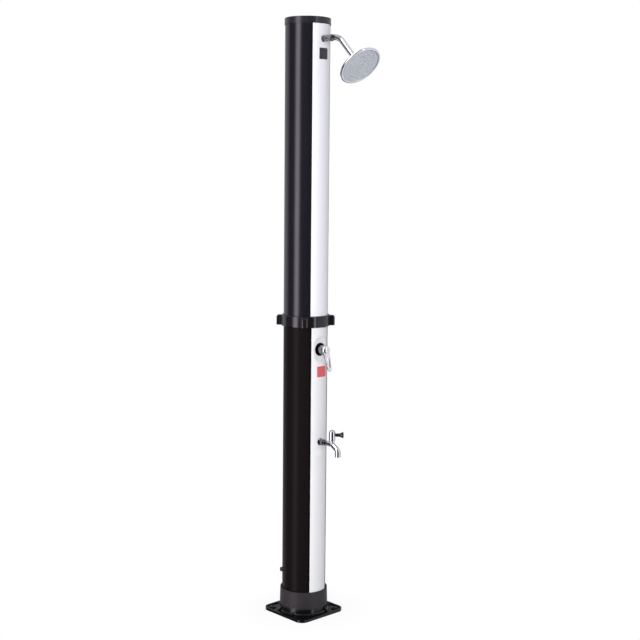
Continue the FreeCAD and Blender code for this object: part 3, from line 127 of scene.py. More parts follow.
def panel(name, place, target, width, height, watts):
    """A rectangular lamp at a place, facing a target, that mirrors don't see."""
    lamp = bpy.data.lights.new(name, "AREA")
    lamp.shape = "RECTANGLE"
    lamp.size, lamp.size_y, lamp.energy = width, height, watts
    holder = bpy.data.objects.new(name, lamp)
    bpy.context.scene.collection.objects.link(holder)
    holder.location = place
    holder.rotation_euler = (Vector(target) - Vector(place)).to_track_quat("-Z", "Y").to_euler()
    holder.visible_glossy = False
    return holder


MIDDLE = (0, 0, 1.1)
panel("key", (-3.4, -3.1, 2.1), MIDDLE, width=2.0, height=3.0, watts=225)
panel("fill", (-4.0, 0.6, 1.6), MIDDLE, width=1.2, height=2.4, watts=60)


# %% [markdown]
# ## Writing shader maths
# A material is a small network of nodes. Wiring it by hand hides the idea, so this cell makes two helpers.
# A `Wire` is one value that the shader works out, and it can be added, multiplied or compared like a
# number. A `Finish` is a material being written: `add` puts in any node, and `done` connects the surface.
# Every finish reads the object's own coordinates, so its pattern stays on the piece when the piece moves.

# %% Shader helpers
class Wire:
    """A value in a shader, which Python's arithmetic extends with Math nodes."""

    def __init__(self, finish, socket):
        self.finish, self.socket = finish, socket

    def maths(self, operation, first, second=0.0):
        return self.finish.add("ShaderNodeMath", {"operation": operation}, {0: first, 1: second})

    def __add__(self, other):
        return self.maths("ADD", self, other)

    def __sub__(self, other):
        return self.maths("SUBTRACT", self, other)

    def __mul__(self, other):
        return self.maths("MULTIPLY", self, other)

    def __gt__(self, other):
        return self.maths("GREATER_THAN", self, other)

    def wave(self):
        return self.maths("SINE", self)

    def size(self):
        return self.maths("ABSOLUTE", self)

    def or_else(self, other):
        """The larger of two values."""
        return self.maths("MAXIMUM", self, other)

    __radd__, __rmul__ = __add__, __mul__


class Finish:
    """A material being written, with the object's own coordinates ready in `here`."""

    def __init__(self, name):
        self.material = bpy.data.materials.new(name)
        self.material.use_nodes = True
        self.tree = self.material.node_tree
        self.tree.nodes.clear()
        self.here = self.add("ShaderNodeTexCoord", output="Object")

    def add(self, kind, settings=None, inputs=None, output=0):
        """Add a node, set it up, feed its sockets, and return one of its outputs."""
        node = self.tree.nodes.new(kind)
        for name, value in (settings or {}).items():
            setattr(node, name, value)
        for name, value in (inputs or {}).items():
            self.feed(node.inputs[name], value)
        return Wire(self, node.outputs[output]) if node.outputs else None

    def feed(self, socket, value):
        if isinstance(value, Wire):
            self.tree.links.new(value.socket, socket)
        else:
            socket.default_value = value

    def noise(self, scale, detail=3.0, roughness=0.5, at=None):
        """Cloudy values about 0.5; the scale is in clouds per metre."""
        return self.add("ShaderNodeTexNoise", {}, {
            "Vector": at or self.here, "Scale": scale, "Detail": detail, "Roughness": roughness})

    def about(self, centre):
        """The object's coordinates, counted from a centre."""
        inputs = {0: self.here, 1: centre}
        return self.add("ShaderNodeVectorMath", {"operation": "SUBTRACT"}, inputs, "Vector")

    def stretched(self, x, y, z, centre=(0, 0, 0), turn=(0, 0, 0)):
        """The object's coordinates about a centre, turned, then stretched."""
        inputs = {"Vector": self.about(centre), "Rotation": turn, "Scale": (x, y, z)}
        return self.add("ShaderNodeMapping", {}, inputs)

    def axis(self, letter, vector=None):
        """One coordinate of a vector, or of the object's own coordinates."""
        return self.add("ShaderNodeSeparateXYZ", {}, {0: vector or self.here}, letter)

    def ramp(self, value, start, end, low=0.0, high=1.0, **settings):
        """A value that runs from low to high while another runs from its start to its end."""
        inputs = {"Value": value, "From Min": start, "From Max": end, "To Min": low, "To Max": high}
        return self.add("ShaderNodeMapRange", settings, inputs)

    def blend(self, factor, first, second):
        """A colour between two, by a factor that varies."""
        node = self.tree.nodes.new("ShaderNodeMix")
        node.data_type = "RGBA"
        self.feed(node.inputs["Factor"], factor)
        self.feed(node.inputs["A"], first if isinstance(first, Wire) else (*first, 1))
        self.feed(node.inputs["B"], second if isinstance(second, Wire) else (*second, 1))
        return Wire(self, node.outputs["Result"])

    def bumps(self, height, depth, strength=1.0, normal=None):
        """A normal that follows a height; the depth is in metres."""
        inputs = {"Height": height, "Distance": depth, "Strength": strength}
        if normal:
            inputs["Normal"] = normal
        return self.add("ShaderNodeBump", {}, inputs, "Normal")

    def done(self, **sockets):
        """Finish with a Principled surface, its sockets named as in Blender with _ for a space."""
        surface = self.tree.nodes.new("ShaderNodeBsdfPrincipled")
        for name, value in sockets.items():
            name = name.replace("_", " ")
            if name == "Base Color" and not isinstance(value, Wire):
                value = (*value, 1)
            self.feed(surface.inputs[name], value)
        end = self.tree.nodes.new("ShaderNodeOutputMaterial")
        self.tree.links.new(surface.outputs["BSDF"], end.inputs["Surface"])
        return self.material


def paint(material, *names):
    """Give solid pieces a finish."""
    for name in names:
        slots = nodes[name].data.materials
        slots.clear()
        slots.append(material)
    print(material.name, "on", len(names), "pieces")


# %% [markdown]
# ## White backdrop and the room that mirrors see
# The floor and the world share one idea: what the camera sees is plain white, and what lights the post is
# much weaker. What chrome and gloss reflect is painted on the world. `WALLS` goes once round the room: each
# pair is a bearing and a brightness. The bearing counts from the camera's side of the post, in degrees
# towards the picture's right. Two strips are bright, the camera's side and the far left are dark, and the
# rest is pale. The paint ends where a ray looks steeply down. There, only the right half is pale. A weak
# ceiling closes the top.

# %% World
world = bpy.data.worlds.new("studio")
bpy.context.scene.world = world
world.use_nodes = True
sky = world.node_tree
sky.nodes.clear()


def sky_node(kind, settings=None, inputs=None, output=0):
    """Add a node to the world, feed its sockets, and return one of its outputs."""
    node = sky.nodes.new(kind)
    for name, value in (settings or {}).items():
        setattr(node, name, value)
    for name, value in (inputs or {}).items():
        if isinstance(value, bpy.types.NodeSocket):
            sky.links.new(value, node.inputs[name])
        else:
            node.inputs[name].default_value = value
    return node.outputs[output] if node.outputs else node


def sky_maths(operation, first, second):
    return sky_node("ShaderNodeMath", {"operation": operation}, {0: first, 1: second})


def sky_ramp(value, start, end, high, **settings):
    """A value that runs from 0 to high while another runs from its start to its end."""
    inputs = {"Value": value, "From Min": start, "From Max": end, "To Min": 0.0, "To Max": high}
    return sky_node("ShaderNodeMapRange", settings, inputs)


def looking(way):
    """How far a ray looks along a way, from -1 to 1."""
    return sky_node("ShaderNodeVectorMath", {"operation": "DOT_PRODUCT"}, {0: ray_way, 1: way}, "Value")


WALLS = ((-180, 0.08), (-150, 0.12), (-136, 0.16), (-114, 0.16), (-100, 0.02), (-66, 0.02),
         (-57, 0.75), (-47, 0.9), (-40, 0.75), (-34, 0.04), (-14, 0.01), (40, 0.006),
         (44, 0.7), (49, 0.7), (53, 0.04), (64, 0.17), (150, 0.15), (172, 0.05))
WALL_STRENGTH = 5.0
SMOOTH = {"interpolation_type": "SMOOTHSTEP"}

ray_way = sky_node("ShaderNodeTexCoord", output="Generated")
towards = looking(tuple(-level))
aside = looking((-level.y, level.x, 0))
upwards = sky_node("ShaderNodeSeparateXYZ", {}, {0: ray_way}, "Z")
bearing = sky_maths("ARCTAN2", aside, towards)
share = sky_ramp(bearing, math.pi, -math.pi, 1.0)
walls = sky_node("ShaderNodeValToRGB", {}, {"Fac": share})
ramp = walls.node.color_ramp
for count, (angle, brightness) in enumerate(WALLS):
    if count >= len(ramp.elements):
        ramp.elements.new(1.0)
    ramp.elements[count].position = (angle + 180) / 360
    ramp.elements[count].color = (brightness, brightness, brightness, 1)

painted = sky_maths("MULTIPLY", walls, sky_ramp(upwards, -0.60, -0.40, WALL_STRENGTH, **SMOOTH))
right_floor = sky_ramp(aside, -0.35, -0.60, 0.85, **SMOOTH)
pale_floor = sky_maths("MULTIPLY", right_floor, sky_ramp(upwards, -0.40, -0.60, 1.0, **SMOOTH))
ceiling = sky_ramp(upwards, 0.35, 0.75, 0.45, **SMOOTH)
room = sky_maths("MAXIMUM", sky_maths("MAXIMUM", painted, pale_floor), ceiling)

lit = sky_node("ShaderNodeBackground", {}, {"Color": (1, 1, 1, 1), "Strength": 0.50})
seen = sky_node("ShaderNodeBackground", {}, {"Color": (1, 1, 1, 1), "Strength": 1.0})
reflected = sky_node("ShaderNodeBackground", {}, {"Color": (0.96, 0.92, 1.0, 1), "Strength": room})
rays = sky_node("ShaderNodeLightPath").node.outputs
mirrored = sky_maths("MAXIMUM", rays["Is Glossy Ray"], rays["Is Transmission Ray"])
in_mirrors = sky_node("ShaderNodeMixShader", {}, {0: mirrored, 1: lit, 2: reflected})
everywhere = sky_node("ShaderNodeMixShader", {}, {0: rays["Is Camera Ray"], 1: in_mirrors, 2: seen})
sky_node("ShaderNodeOutputWorld", {}, {"Surface": everywhere})

# %% [markdown]
# ## Floor
# Near the foot the floor still shows a little of its real shading, so the post keeps a soft shadow to stand
# on. Farther out it fades to plain white. Mirrors don't see the floor: they see the painted room instead.

# %% Floor
floor_mesh = bpy.data.meshes.new("floor")
FLOOR = 12.0
corners = [(x * FLOOR, y * FLOOR, 0) for x, y in ((-1, -1), (1, -1), (1, 1), (-1, 1))]
floor_mesh.from_pydata(corners, [], [(0, 1, 2, 3)])
floor = bpy.data.objects.new("floor", floor_mesh)
bpy.context.scene.collection.objects.link(floor)
floor.visible_glossy = False

ground = Finish("studio floor")
apart = ground.add("ShaderNodeVectorMath", {"operation": "LENGTH"}, {0: ground.here}, "Value")
far_off = ground.ramp(apart, 0.10, 0.30, 0.90, 1.0, **SMOOTH)
watched = ground.add("ShaderNodeLightPath", output="Is Camera Ray")
matt = ground.add("ShaderNodeBsdfDiffuse", {}, {"Color": (0.82, 0.82, 0.82, 1)})
glow = ground.add("ShaderNodeEmission", {}, {"Color": (1, 1, 1, 1), "Strength": 1.0})
surface = ground.add("ShaderNodeMixShader", {}, {0: watched * far_off, 1: matt, 2: glow})
ground.add("ShaderNodeOutputMaterial", {}, {"Surface": surface})
floor_mesh.materials.append(ground.material)
print("floor", 2 * FLOOR, "m wide")

# %% [markdown]
# ## Tanks, cap and joint ring
# The tanks are blow-moulded: hot plastic is blown against a cold mould, so the wall has a faint waviness
# that only shows where a highlight runs along it. One broad noise gives that, and a very fine one gives
# the satin skin. The two bumps are chained: the fine one's normal feeds the broad one.

# %% Blow-moulded black plastic
def moulded(name, colour, roughness, wave_depth=0.0, grain_depth=0.00001, grain=1400, tint=0.15, wave=14,
            **more):
    """Coloured plastic from a mould: a fine skin, uneven gloss and, where asked, a wavy wall."""
    finish = Finish(name)
    cloud = finish.noise(9, 2)
    skin = finish.noise(grain, 2)
    marks = finish.noise(55, 4, 0.6)
    shade = finish.blend(cloud, colour, tuple(c * (1 + tint) for c in colour))
    gloss = marks * 0.10 + (roughness - 0.05)
    normal = finish.bumps(skin, grain_depth)
    if wave_depth:
        broad = finish.noise(wave, 1, at=finish.stretched(1, 1, 0.35))
        normal = finish.bumps(broad, wave_depth, normal=normal)
    return finish.done(Base_Color=shade, Roughness=gloss, Normal=normal, **more)


paint(moulded("lower tank plastic", (0.0058, 0.0043, 0.0050), 0.26, wave_depth=0.0010, wave=9,
               Specular_IOR_Level=0.035), "lower_tank")
paint(moulded("upper tank plastic", (0.0058, 0.0053, 0.0080), 0.21, wave_depth=0.0010, wave=9),
      "upper_tank")
paint(moulded("cap plastic", (0.012, 0.0105, 0.0145), 0.25), "top_cap")
paint(moulded("glossy ring plastic", (0.0055, 0.0048, 0.0060), 0.13, grain_depth=0.000004), "union_ring")


COLLAR_STARTS = (0.026, 0.036)


def plate_plastic():
    """Satin on the collar, and glossy on the plate, where the mould is polished; the plate is darker and
    the collar lighter by painted shade and light.
    """
    finish = Finish("floor plate plastic")
    collar = finish.ramp(finish.axis("Z"), *COLLAR_STARTS)
    cloud = finish.noise(40, 4)
    skin = finish.noise(900, 2)
    # The collar's lighter colour and the plate's darker one are painted light and shade on one moulding.
    satin = finish.blend(cloud, (0.0195, 0.0165, 0.0190), (0.0220, 0.0188, 0.0212))
    shade = finish.blend(collar, (0.0040, 0.0036, 0.0042), satin)
    gloss = collar * 0.36 + cloud * 0.08 + 0.14
    return finish.done(Base_Color=shade, Roughness=gloss, Normal=finish.bumps(skin, 0.00002),
                       Specular_IOR_Level=0.30)


paint(plate_plastic(), "base_foot")

# %% [markdown]
# ## Covers
# Both covers are the same moulding in two colours: nearly white above and silver grey below. The lower
# one has a finer grain and a weaker gloss, so it looks a shade duller.

# %% Pale cover plastic
paint(moulded("white cover plastic", (0.61, 0.61, 0.665), 0.30, wave_depth=0.0004, grain_depth=0.000006,
              tint=0.02), "upper_cover")
paint(moulded("silver cover plastic", (0.59, 0.59, 0.615), 0.34, wave_depth=0.0004, grain_depth=0.000010,
              grain=2600, tint=0.04, Specular_IOR_Level=0.20), "lower_cover")

# %% [markdown]
# ## Chrome
# Chrome has no colour of its own. It is metallic, nearly smooth, and what makes it real are faint smudges
# in the gloss and a little unevenness in the polish. The arm and the tap are darker near the cover, behind
# a depth called the root; this is painted shade where they meet the cover. The rosettes and the mixer's
# neck get a darker plating, which is painted shade for their dark reflections.

# %% Chrome and other metals
def plated(name, colour, roughness, smudge=0.08, polish=0.00002, root=None, painted_shade=0.28):
    """Polished plating with faint finger marks, darkened by painted shade behind the depth given as its
    root.
    """
    finish = Finish(name)
    marks = finish.noise(60, 5, 0.62)
    uneven = finish.noise(140, 1)
    shade = finish.blend(marks, colour, tuple(c * 0.93 for c in colour))
    if root:
        near = finish.ramp(finish.axis("Y") + marks * 0.004, root - 0.002, root + 0.002)
        shade = finish.blend(near, shade, tuple(c * painted_shade for c in colour))
    return finish.done(Base_Color=shade, Metallic=1.0, Roughness=marks * smudge + (roughness - smudge / 2),
                       Normal=finish.bumps(uneven, polish))


def turned(name, colour, roughness):
    """Metal from a lathe: fine grooves round the object's upright axis, seen as streaks."""
    finish = Finish(name)
    streaks = finish.noise(30, 4, at=finish.stretched(1, 1, 60))
    shade = finish.blend(streaks, colour, tuple(c * 0.8 for c in colour))
    return finish.done(Base_Color=shade, Metallic=1.0, Roughness=streaks * 0.2 + (roughness - 0.1),
                       Normal=finish.bumps(streaks, 0.00002))


# The arm and the tap get painted shade near the cover, behind their root depth.
paint(plated("arm chrome", (0.86, 0.87, 0.89), 0.07, root=-0.147, painted_shade=0.42), "shower_arm")
paint(plated("head chrome", (0.86, 0.87, 0.89), 0.07), "swivel_ball", "swivel_nut", "head_shell")
# The dark plating on the rosettes and the neck is painted shade: it stands for the dark reflections on
# them.
paint(plated("rosette chrome with painted shade", (0.36, 0.34, 0.37), 0.12), "arm_rosette", "tap_rosette")
paint(plated("neck chrome with painted shade", (0.31, 0.30, 0.32), 0.20, smudge=0.2), "mixer_neck")
paint(plated("lever chrome", (0.96, 0.96, 0.97), 0.20, smudge=0.14), "mixer_lever")
paint(plated("tap chrome", (0.68, 0.68, 0.69), 0.055, smudge=0.05, root=-0.122), "tap_body", "tap_cap")
paint(turned("turned brass", (0.70, 0.50, 0.24), 0.32), "inlet_connector", "mixer_body", "cartridge_rotor",
      "tap_spindle")
paint(turned("plain steel", (0.55, 0.55, 0.56), 0.34), "rotor_pin", "lever_stem", "lever_screw")

# %% [markdown]
# ## Shower face
# The face of the head is satin grey plastic with fine rings pressed into it. Broader pale and dark circles
# on it are painted light and shade that make the ribs stand out, mixed with a random film. Both follow the
# distance from the head's own axis, so the coordinates are first counted from the face's centre, turned by
# the head's slope and flattened. A sine of the distance then makes the rings.

# %% Head face
ball_joint = next(joint for joint in frame["record"]["behaviour"]["joints"] if joint["name"] == "head_spin")
HEAD_AXIS = Vector(ball_joint["axis"]).normalized()
BALL_TO_FACE = 0.031
FACE_CENTRE = Vector(ball_joint["pos_m"]) + HEAD_AXIS * BALL_TO_FACE
FACE_SLOPE = math.radians(-45)
NOZZLE_PITCH = 0.019
FINE_PITCH, SHADING_PITCH = NOZZLE_PITCH / 4, NOZZLE_PITCH / 2


def face_plastic():
    finish = Finish("head face plastic")
    flat = finish.stretched(1, 1, 0, FACE_CENTRE, (FACE_SLOPE, 0, 0))
    out = finish.add("ShaderNodeVectorMath", {"operation": "LENGTH"}, {0: flat}, "Value")
    rings = (out * (2 * math.pi / FINE_PITCH)).wave()
    skin = finish.noise(1800, 2)
    film = finish.noise(70, 4)
    # Pale and dark circles: painted light and shade of the ribs, mixed with a random film.
    rib_shading_and_film = (out * (2 * math.pi / SHADING_PITCH)).wave() * 0.35 + film * 0.5 + 0.25
    shade = finish.blend(rib_shading_and_film, (0.325, 0.350, 0.395), (0.415, 0.442, 0.490))
    normal = finish.bumps(rings, 0.00005, normal=finish.bumps(skin, 0.00001))
    return finish.done(Base_Color=shade, Roughness=film * 0.12 + 0.30, Normal=normal)


paint(face_plastic(), "head_face")
paint(moulded("nozzle silicone", (0.42, 0.44, 0.46), 0.5, tint=0.1), "nozzle_mat")

# %% [markdown]
# ## Small plastic and rubber pieces
# Seals are rubber: dark, dull and slightly dusty. The pieces behind the cover follow the same recipe
# with their own colours, so that they look right when the cover is taken off.

# %% Remaining finishes
paint(moulded("mixer cup plastic", (0.006, 0.006, 0.0065), 0.22), "mixer_bezel")
paint(moulded("tap grip plastic", (0.0065, 0.0065, 0.007), 0.20), "tap_grip")
paint(moulded("lever dot plastic", (0.42, 0.42, 0.43), 0.25), "lever_dot")
paint(moulded("aerator plastic", (0.10, 0.10, 0.10), 0.45), "tap_aerator")
paint(moulded("drain seat plastic", (0.05, 0.05, 0.05), 0.45), "drain_seat")
paint(moulded("drain plug plastic", (0.008, 0.008, 0.008), 0.50, Specular_IOR_Level=0.15), "drain_plug")
paint(moulded("rubber", (0.012, 0.012, 0.012), 0.75, grain_depth=0.00003, tint=0.5),
      "union_gasket", "transfer_seals", "inlet_washer", "cartridge_seal", "drain_ring")
paint(moulded("fitting plastic", (0.05, 0.05, 0.052), 0.45),
      "transfer_pipe", "cold_tee", "fill_elbow", "tap_tee", "hot_elbow", "arm_elbow",
      "inlet_nut", "tap_nut", "arm_nut")
paint(moulded("hose plastic", (0.55, 0.56, 0.55), 0.38, tint=0.08),
      "fill_hose", "cold_hose_low", "cold_hose_high", "riser_hose", "hot_hose")
paint(moulded("clip plastic", (0.03, 0.03, 0.03), 0.5), "clips_low", "clips_middle", "clips_high")
paint(moulded("cartridge plastic", (0.68, 0.68, 0.66), 0.4), "cartridge")
paint(moulded("seat plastic", (0.66, 0.66, 0.64), 0.4), "swivel_seat")

# %% [markdown]
# ## Labels
# Three stickers lie on the covers: a dark square under the arm, a red square under the mixer and a small
# pale disc by the tap. All are plain film. Each is cut flat first, as a grid whose corners are drawn in,
# then wrapped round the tube by turning its width into an angle, and thickened to a third of a millimetre.

# %% Stickers on the covers
ABOVE_COVER = 0.00003
FILM_THICKNESS = 0.0003


def plain_film(name, colour, edge_colour, centre, half_wide, half_tall):
    """Satin film of one colour, with its edge in another outside the half width and half height."""
    finish = Finish(name)
    local = finish.about(centre)
    side, up = (finish.axis(letter, local).size() for letter in ("X", "Z"))
    edge = (side > half_wide).or_else(up > half_tall)
    ink = finish.noise(900, 3)
    body = finish.blend(ink, colour, tuple(c * 1.12 for c in colour))
    return finish.done(Base_Color=finish.blend(edge, body, edge_colour), Roughness=ink * 0.08 + 0.30,
                       Normal=finish.bumps(ink, 0.000004))


def sticker(name, angle, height, wide, tall, corner, film, steps=24):
    """A thin label wrapped on the cover about an angle and a height, with rounded corners."""
    mesh = bmesh.new()
    bmesh.ops.create_grid(mesh, x_segments=steps, y_segments=steps, size=0.5)
    core_x, core_y = wide / 2 - corner, tall / 2 - corner
    for point in mesh.verts:
        x, y = point.co.x * wide, point.co.y * tall
        past_x, past_y = max(abs(x) - core_x, 0.0), max(abs(y) - core_y, 0.0)
        if past_x and past_y:
            drawn_in = max(past_x, past_y) / math.hypot(past_x, past_y)
            x = math.copysign(core_x + past_x * drawn_in, x)
            y = math.copysign(core_y + past_y * drawn_in, y)
        point.co = on_tube(angle + math.degrees(x / COVER_RADIUS), COVER_RADIUS + ABOVE_COVER, height + y)
    film_name, colour, edge_colour, half_wide, half_tall = film
    material = plain_film(film_name, colour, edge_colour, on_tube(angle, COVER_RADIUS, height),
                          half_wide, half_tall)
    return dressed(mesh, name, material, "post", thickness=FILM_THICKNESS)


# Each line gives the angle, the height, the width, the length and the corner's radius. Then it gives the
# film: a name, a colour, an edge colour, and the half width and half length inside the edge.
sticker("upper_label", 0.7, 2.0464, 0.0395, 0.0393, 0.002,
        ("dark label film", (0.018, 0.017, 0.022), (0.05, 0.05, 0.055), 0.0185, 0.01845))
sticker("red_label", 4.1, 0.9155, 0.0445, 0.0390, 0.002,
        ("red label film", (0.50, 0.072, 0.085), (0.40, 0.055, 0.065), 0.0205, 0.0179))
sticker("tap_label", 0, 0.6165, 0.0320, 0.0320, 0.01599,
        ("pale label film", (0.63, 0.59, 0.61), (0.63, 0.59, 0.61), 0.019, 0.019))

# %% [markdown]
# ## Turned pieces: a crown, a rim, ribs, a sleeve and a skin
# Some edges are fuller than the solids have them. The cap's top swells by nearly five millimetres, and a
# rounded rim runs round the head behind its face. Low ribs stand on the face between the circles of
# nozzles. A plain sleeve with a bead hides where the arm comes out of its rosette, and a skin makes the
# waist of the tap's grip fuller. All are turned shapes. The outline is written in millimetres as pairs of
# a radius and a height, closed on itself and spun about the Z axis. A matrix then carries it to its place.

# %% How a piece is turned
MM = 0.001


def spun(name, outlines, material, body, place=Matrix(), steps=128):
    """Closed outlines of (radius, height) pairs in millimetres, spun about Z and placed by a matrix."""
    mesh = bmesh.new()
    turns = [2 * math.pi * step / steps for step in range(steps)]
    for outline in outlines:
        rings = [[mesh.verts.new((r * MM * math.cos(turn), r * MM * math.sin(turn), h * MM))
                  for r, h in outline] for turn in turns]
        for here, there in zip(rings, rings[1:] + rings[:1]):
            corners = list(zip(here, there))
            for (a, b), (d, c) in zip(corners, corners[1:] + corners[:1]):
                mesh.faces.new((a, b, c, d))
    bmesh.ops.remove_doubles(mesh, verts=mesh.verts, dist=1e-6)
    bmesh.ops.recalc_face_normals(mesh, faces=mesh.faces)
    mesh.transform(place)
    return dressed(mesh, name, material, body)


def rounded(outline, cuts=3):
    """The same closed outline with its corners cut a number of times, which rounds them."""
    for _ in range(cuts):
        pairs = zip(outline, outline[1:] + outline[:1])
        outline = [(a[0] * (1 - t) + b[0] * t, a[1] * (1 - t) + b[1] * t)
                   for a, b in pairs for t in (0.25, 0.75)]
    return outline


def finish_of(node):
    """The finish that a solid piece already has."""
    return nodes[node].data.materials[0]


# %% Crown of the cap
cap_low, cap_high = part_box("top_cap")
BRIM_INSIDE = 0.5
brim = (cap_high.x - cap_low.x) / 2 / MM - BRIM_INSIDE
crown_outline = rounded([
    (brim, -7), (brim, 2.2), (brim - 0.4, 3.6), (brim - 3, 4.0), (brim * 0.6, 4.4),
    (0, 4.7), (0, 4.7), (0, -7), (0, -7), (brim - 1, -7)])
spun("cap_crown", [crown_outline], finish_of("top_cap"), "post",
     Matrix.Translation((0, 0, cap_high.z)))

# %% Rim and ribs of the head
on_face = facing(FACE_CENTRE, HEAD_AXIS)
rim_outline = rounded([
    (68.6, -0.8), (69.2, 0.3), (73.5, 0.7), (77.0, 0.1), (77.8, -3.0), (77.4, -6.8), (72.0, -8.4),
    (62.0, -6.6), (70.0, -4.0)], cuts=2)
spun("head_rim", [rim_outline], finish_of("head_shell"), "shower_head", on_face)

FACE_SUNK = 0.6
RIB_SECTION = ((-2.6, -0.3), (-2.6, 0.0), (-1.7, 0.30), (0, 0.45), (1.7, 0.30), (2.6, 0.0), (2.6, -0.3))
pitch = NOZZLE_PITCH / MM
rib_radii = (pitch * 0.5, pitch * 1.5, pitch * 2.5, 65.5)
ribs = [[(radius + beside, rise - FACE_SUNK) for beside, rise in RIB_SECTION] for radius in rib_radii]
spun("face_ribs", ribs, finish_of("head_face"), "shower_head", on_face)

# %% Sleeve of the arm
arm_low, arm_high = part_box("shower_arm")
arm_radius = (arm_high.x - arm_low.x) / 2 / MM
SLEEVE_SECTION = ((-0.6, 0), (1.5, 0), (1.5, 36), (2.4, 36.6), (2.4, 41), (1.4, 42.4), (-0.6, 42.6))
AHEAD_OF_COVER = 0.001
arm_root = (0, -COVER_RADIUS - AHEAD_OF_COVER, arm_high.z - arm_radius * MM)
spun("arm_sleeve", [[(arm_radius + over, ahead) for over, ahead in SLEEVE_SECTION]],
     finish_of("arm_rosette"), "post", facing(arm_root, (0, -1, 0)))

# %% Skin of the tap's grip
grip_low, grip_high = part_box("tap_grip")
GRIP_TURN = math.radians(47)
BARREL_FORWARD = 0.146
grip_root = (0, -BARREL_FORWARD, (grip_low.z + grip_high.z) / 2)
skin_outline = rounded([
    (4, 12.5), (6.0, 12.5), (6.0, 18), (6.2, 26), (8.4, 33), (11.4, 37.5), (11.9, 38.5), (11.7, 40),
    (4, 40)], cuts=2)
spun("tap_grip_skin", [skin_outline], finish_of("tap_grip"), "tap_handle",
     facing(grip_root, (math.sin(GRIP_TURN), -math.cos(GRIP_TURN), 0)), steps=64)

# %% [markdown]
# ## Seam strips of painted shade
# A black strip laps over each long edge of the lower cover and stands for the shade in the seam to the
# tank. Its section is drawn as angles and radii about the post's axis, and drawn out from the collar to the
# ring.

# %% Strips beside the lower cover
def seam_shadow_strips(name, section, low, high, material):
    """A section of (angle, radius) pairs, in degrees and metres, drawn out on both sides of the front."""
    mesh = bmesh.new()
    for side in (1, -1):
        bottom, top = ([mesh.verts.new(on_tube(side * angle, radius, level)) for angle, radius in section]
                       for level in (low, high))
        mesh.faces.new(bottom)
        mesh.faces.new(top)
        for (a, d), (b, c) in zip(zip(bottom, top), zip(bottom[1:] + bottom[:1], top[1:] + top[:1])):
            mesh.faces.new((a, b, c, d))
    bmesh.ops.recalc_face_normals(mesh, faces=mesh.faces)
    return dressed(mesh, name, material, "post", smooth=False)


COVER_EDGE_ANGLE = 30
INSIDE_COLLAR, BELOW_RING = 0.004, 0.0005
STRIP_SECTION = ((1.0, -0.0024), (1.0, 0.0), (0.4, 0.0005),
                 (-2.2, 0.0005), (-2.7, -0.0002), (-1.0, -0.0010))
foot_low, foot_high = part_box("base_foot")
ring_low, ring_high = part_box("union_ring")
# The strips are painted shade: a dark sheet where the seam between cover and tank falls in shade.
seam_shadow_strips("cover_seam_shadows",
            rounded([(COVER_EDGE_ANGLE + past, COVER_RADIUS + out) for past, out in STRIP_SECTION], cuts=2),
            foot_high.z - INSIDE_COLLAR, ring_low.z - BELOW_RING,
            moulded("seam shade black", (0.0022, 0.0016, 0.0016), 0.60, Specular_IOR_Level=0.05))

# %% [markdown]
# ## What repeats: threads, a screen and flutes
# A thread, the wires of a screen and the flutes of a knob are one small shape over and over, which is what
# Geometry Nodes is for. `Recipe` writes such a node group with named inputs, and `baked` runs it and keeps
# only the mesh, so that what is left is an ordinary piece.

# %% Geometry Nodes helpers
class Recipe:
    """A Geometry Nodes group being written; each named input becomes a socket."""

    def __init__(self, name, **inputs):
        self.group = bpy.data.node_groups.new(name, "GeometryNodeTree")
        kinds = {float: "NodeSocketFloat", int: "NodeSocketInt"}
        for title, value in inputs.items():
            socket = self.group.interface.new_socket(title, in_out="INPUT", socket_type=kinds[type(value)])
            socket.default_value = value
        self.group.interface.new_socket("Material", in_out="INPUT", socket_type="NodeSocketMaterial")
        self.group.interface.new_socket("Geometry", in_out="OUTPUT", socket_type="NodeSocketGeometry")
        self.given = self.group.nodes.new("NodeGroupInput").outputs

    def add(self, kind, settings=None, inputs=None, output=0):
        """Add a node and return one of its outputs; an input may be a number, a name or an output."""
        node = self.group.nodes.new(kind)
        for name, value in (settings or {}).items():
            setattr(node, name, value)
        for name, value in (inputs or {}).items():
            if isinstance(value, str):
                value = self.given[value]
            if isinstance(value, bpy.types.NodeSocket):
                self.group.links.new(value, node.inputs[name])
            else:
                node.inputs[name].default_value = value
        return node.outputs[output]

    def maths(self, operation, first, second=0.0):
        return self.add("ShaderNodeMath", {"operation": operation}, {0: first, 1: second})

    def times(self, first, second):
        return self.maths("MULTIPLY", first, second)

    def baked(self, name, material, body, place=Matrix()):
        """Run the group and keep the mesh, placed by a matrix, as a piece on a body."""
        output = self.group.nodes.new("NodeGroupOutput")
        real = self.add("GeometryNodeRealizeInstances", {}, {"Geometry": self.last})
        coated = self.add("GeometryNodeSetMaterial", {}, {"Geometry": real, "Material": "Material"})
        self.group.links.new(coated, output.inputs["Geometry"])
        seed = bpy.data.objects.new(name, bpy.data.meshes.new(name + " seed"))
        bpy.context.scene.collection.objects.link(seed)
        work = seed.modifiers.new("recipe", "NODES")
        work.node_group = self.group
        key = next(item.identifier for item in self.group.interface.items_tree if item.name == "Material")
        work[key] = material
        ready = seed.evaluated_get(bpy.context.evaluated_depsgraph_get())
        mesh = bpy.data.meshes.new_from_object(ready)
        seed.modifiers.remove(work)
        mesh.transform(place)
        mesh.name = name
        seed.data = mesh
        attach(seed, body)
        print(name, len(mesh.polygons), "faces")
        return seed


# %% [markdown]
# The inlet's thread is a spiral curve with a small square drawn along it. The ridge's crest stands half a
# millimetre out of the connector, and the number of turns fills the connector's free end.

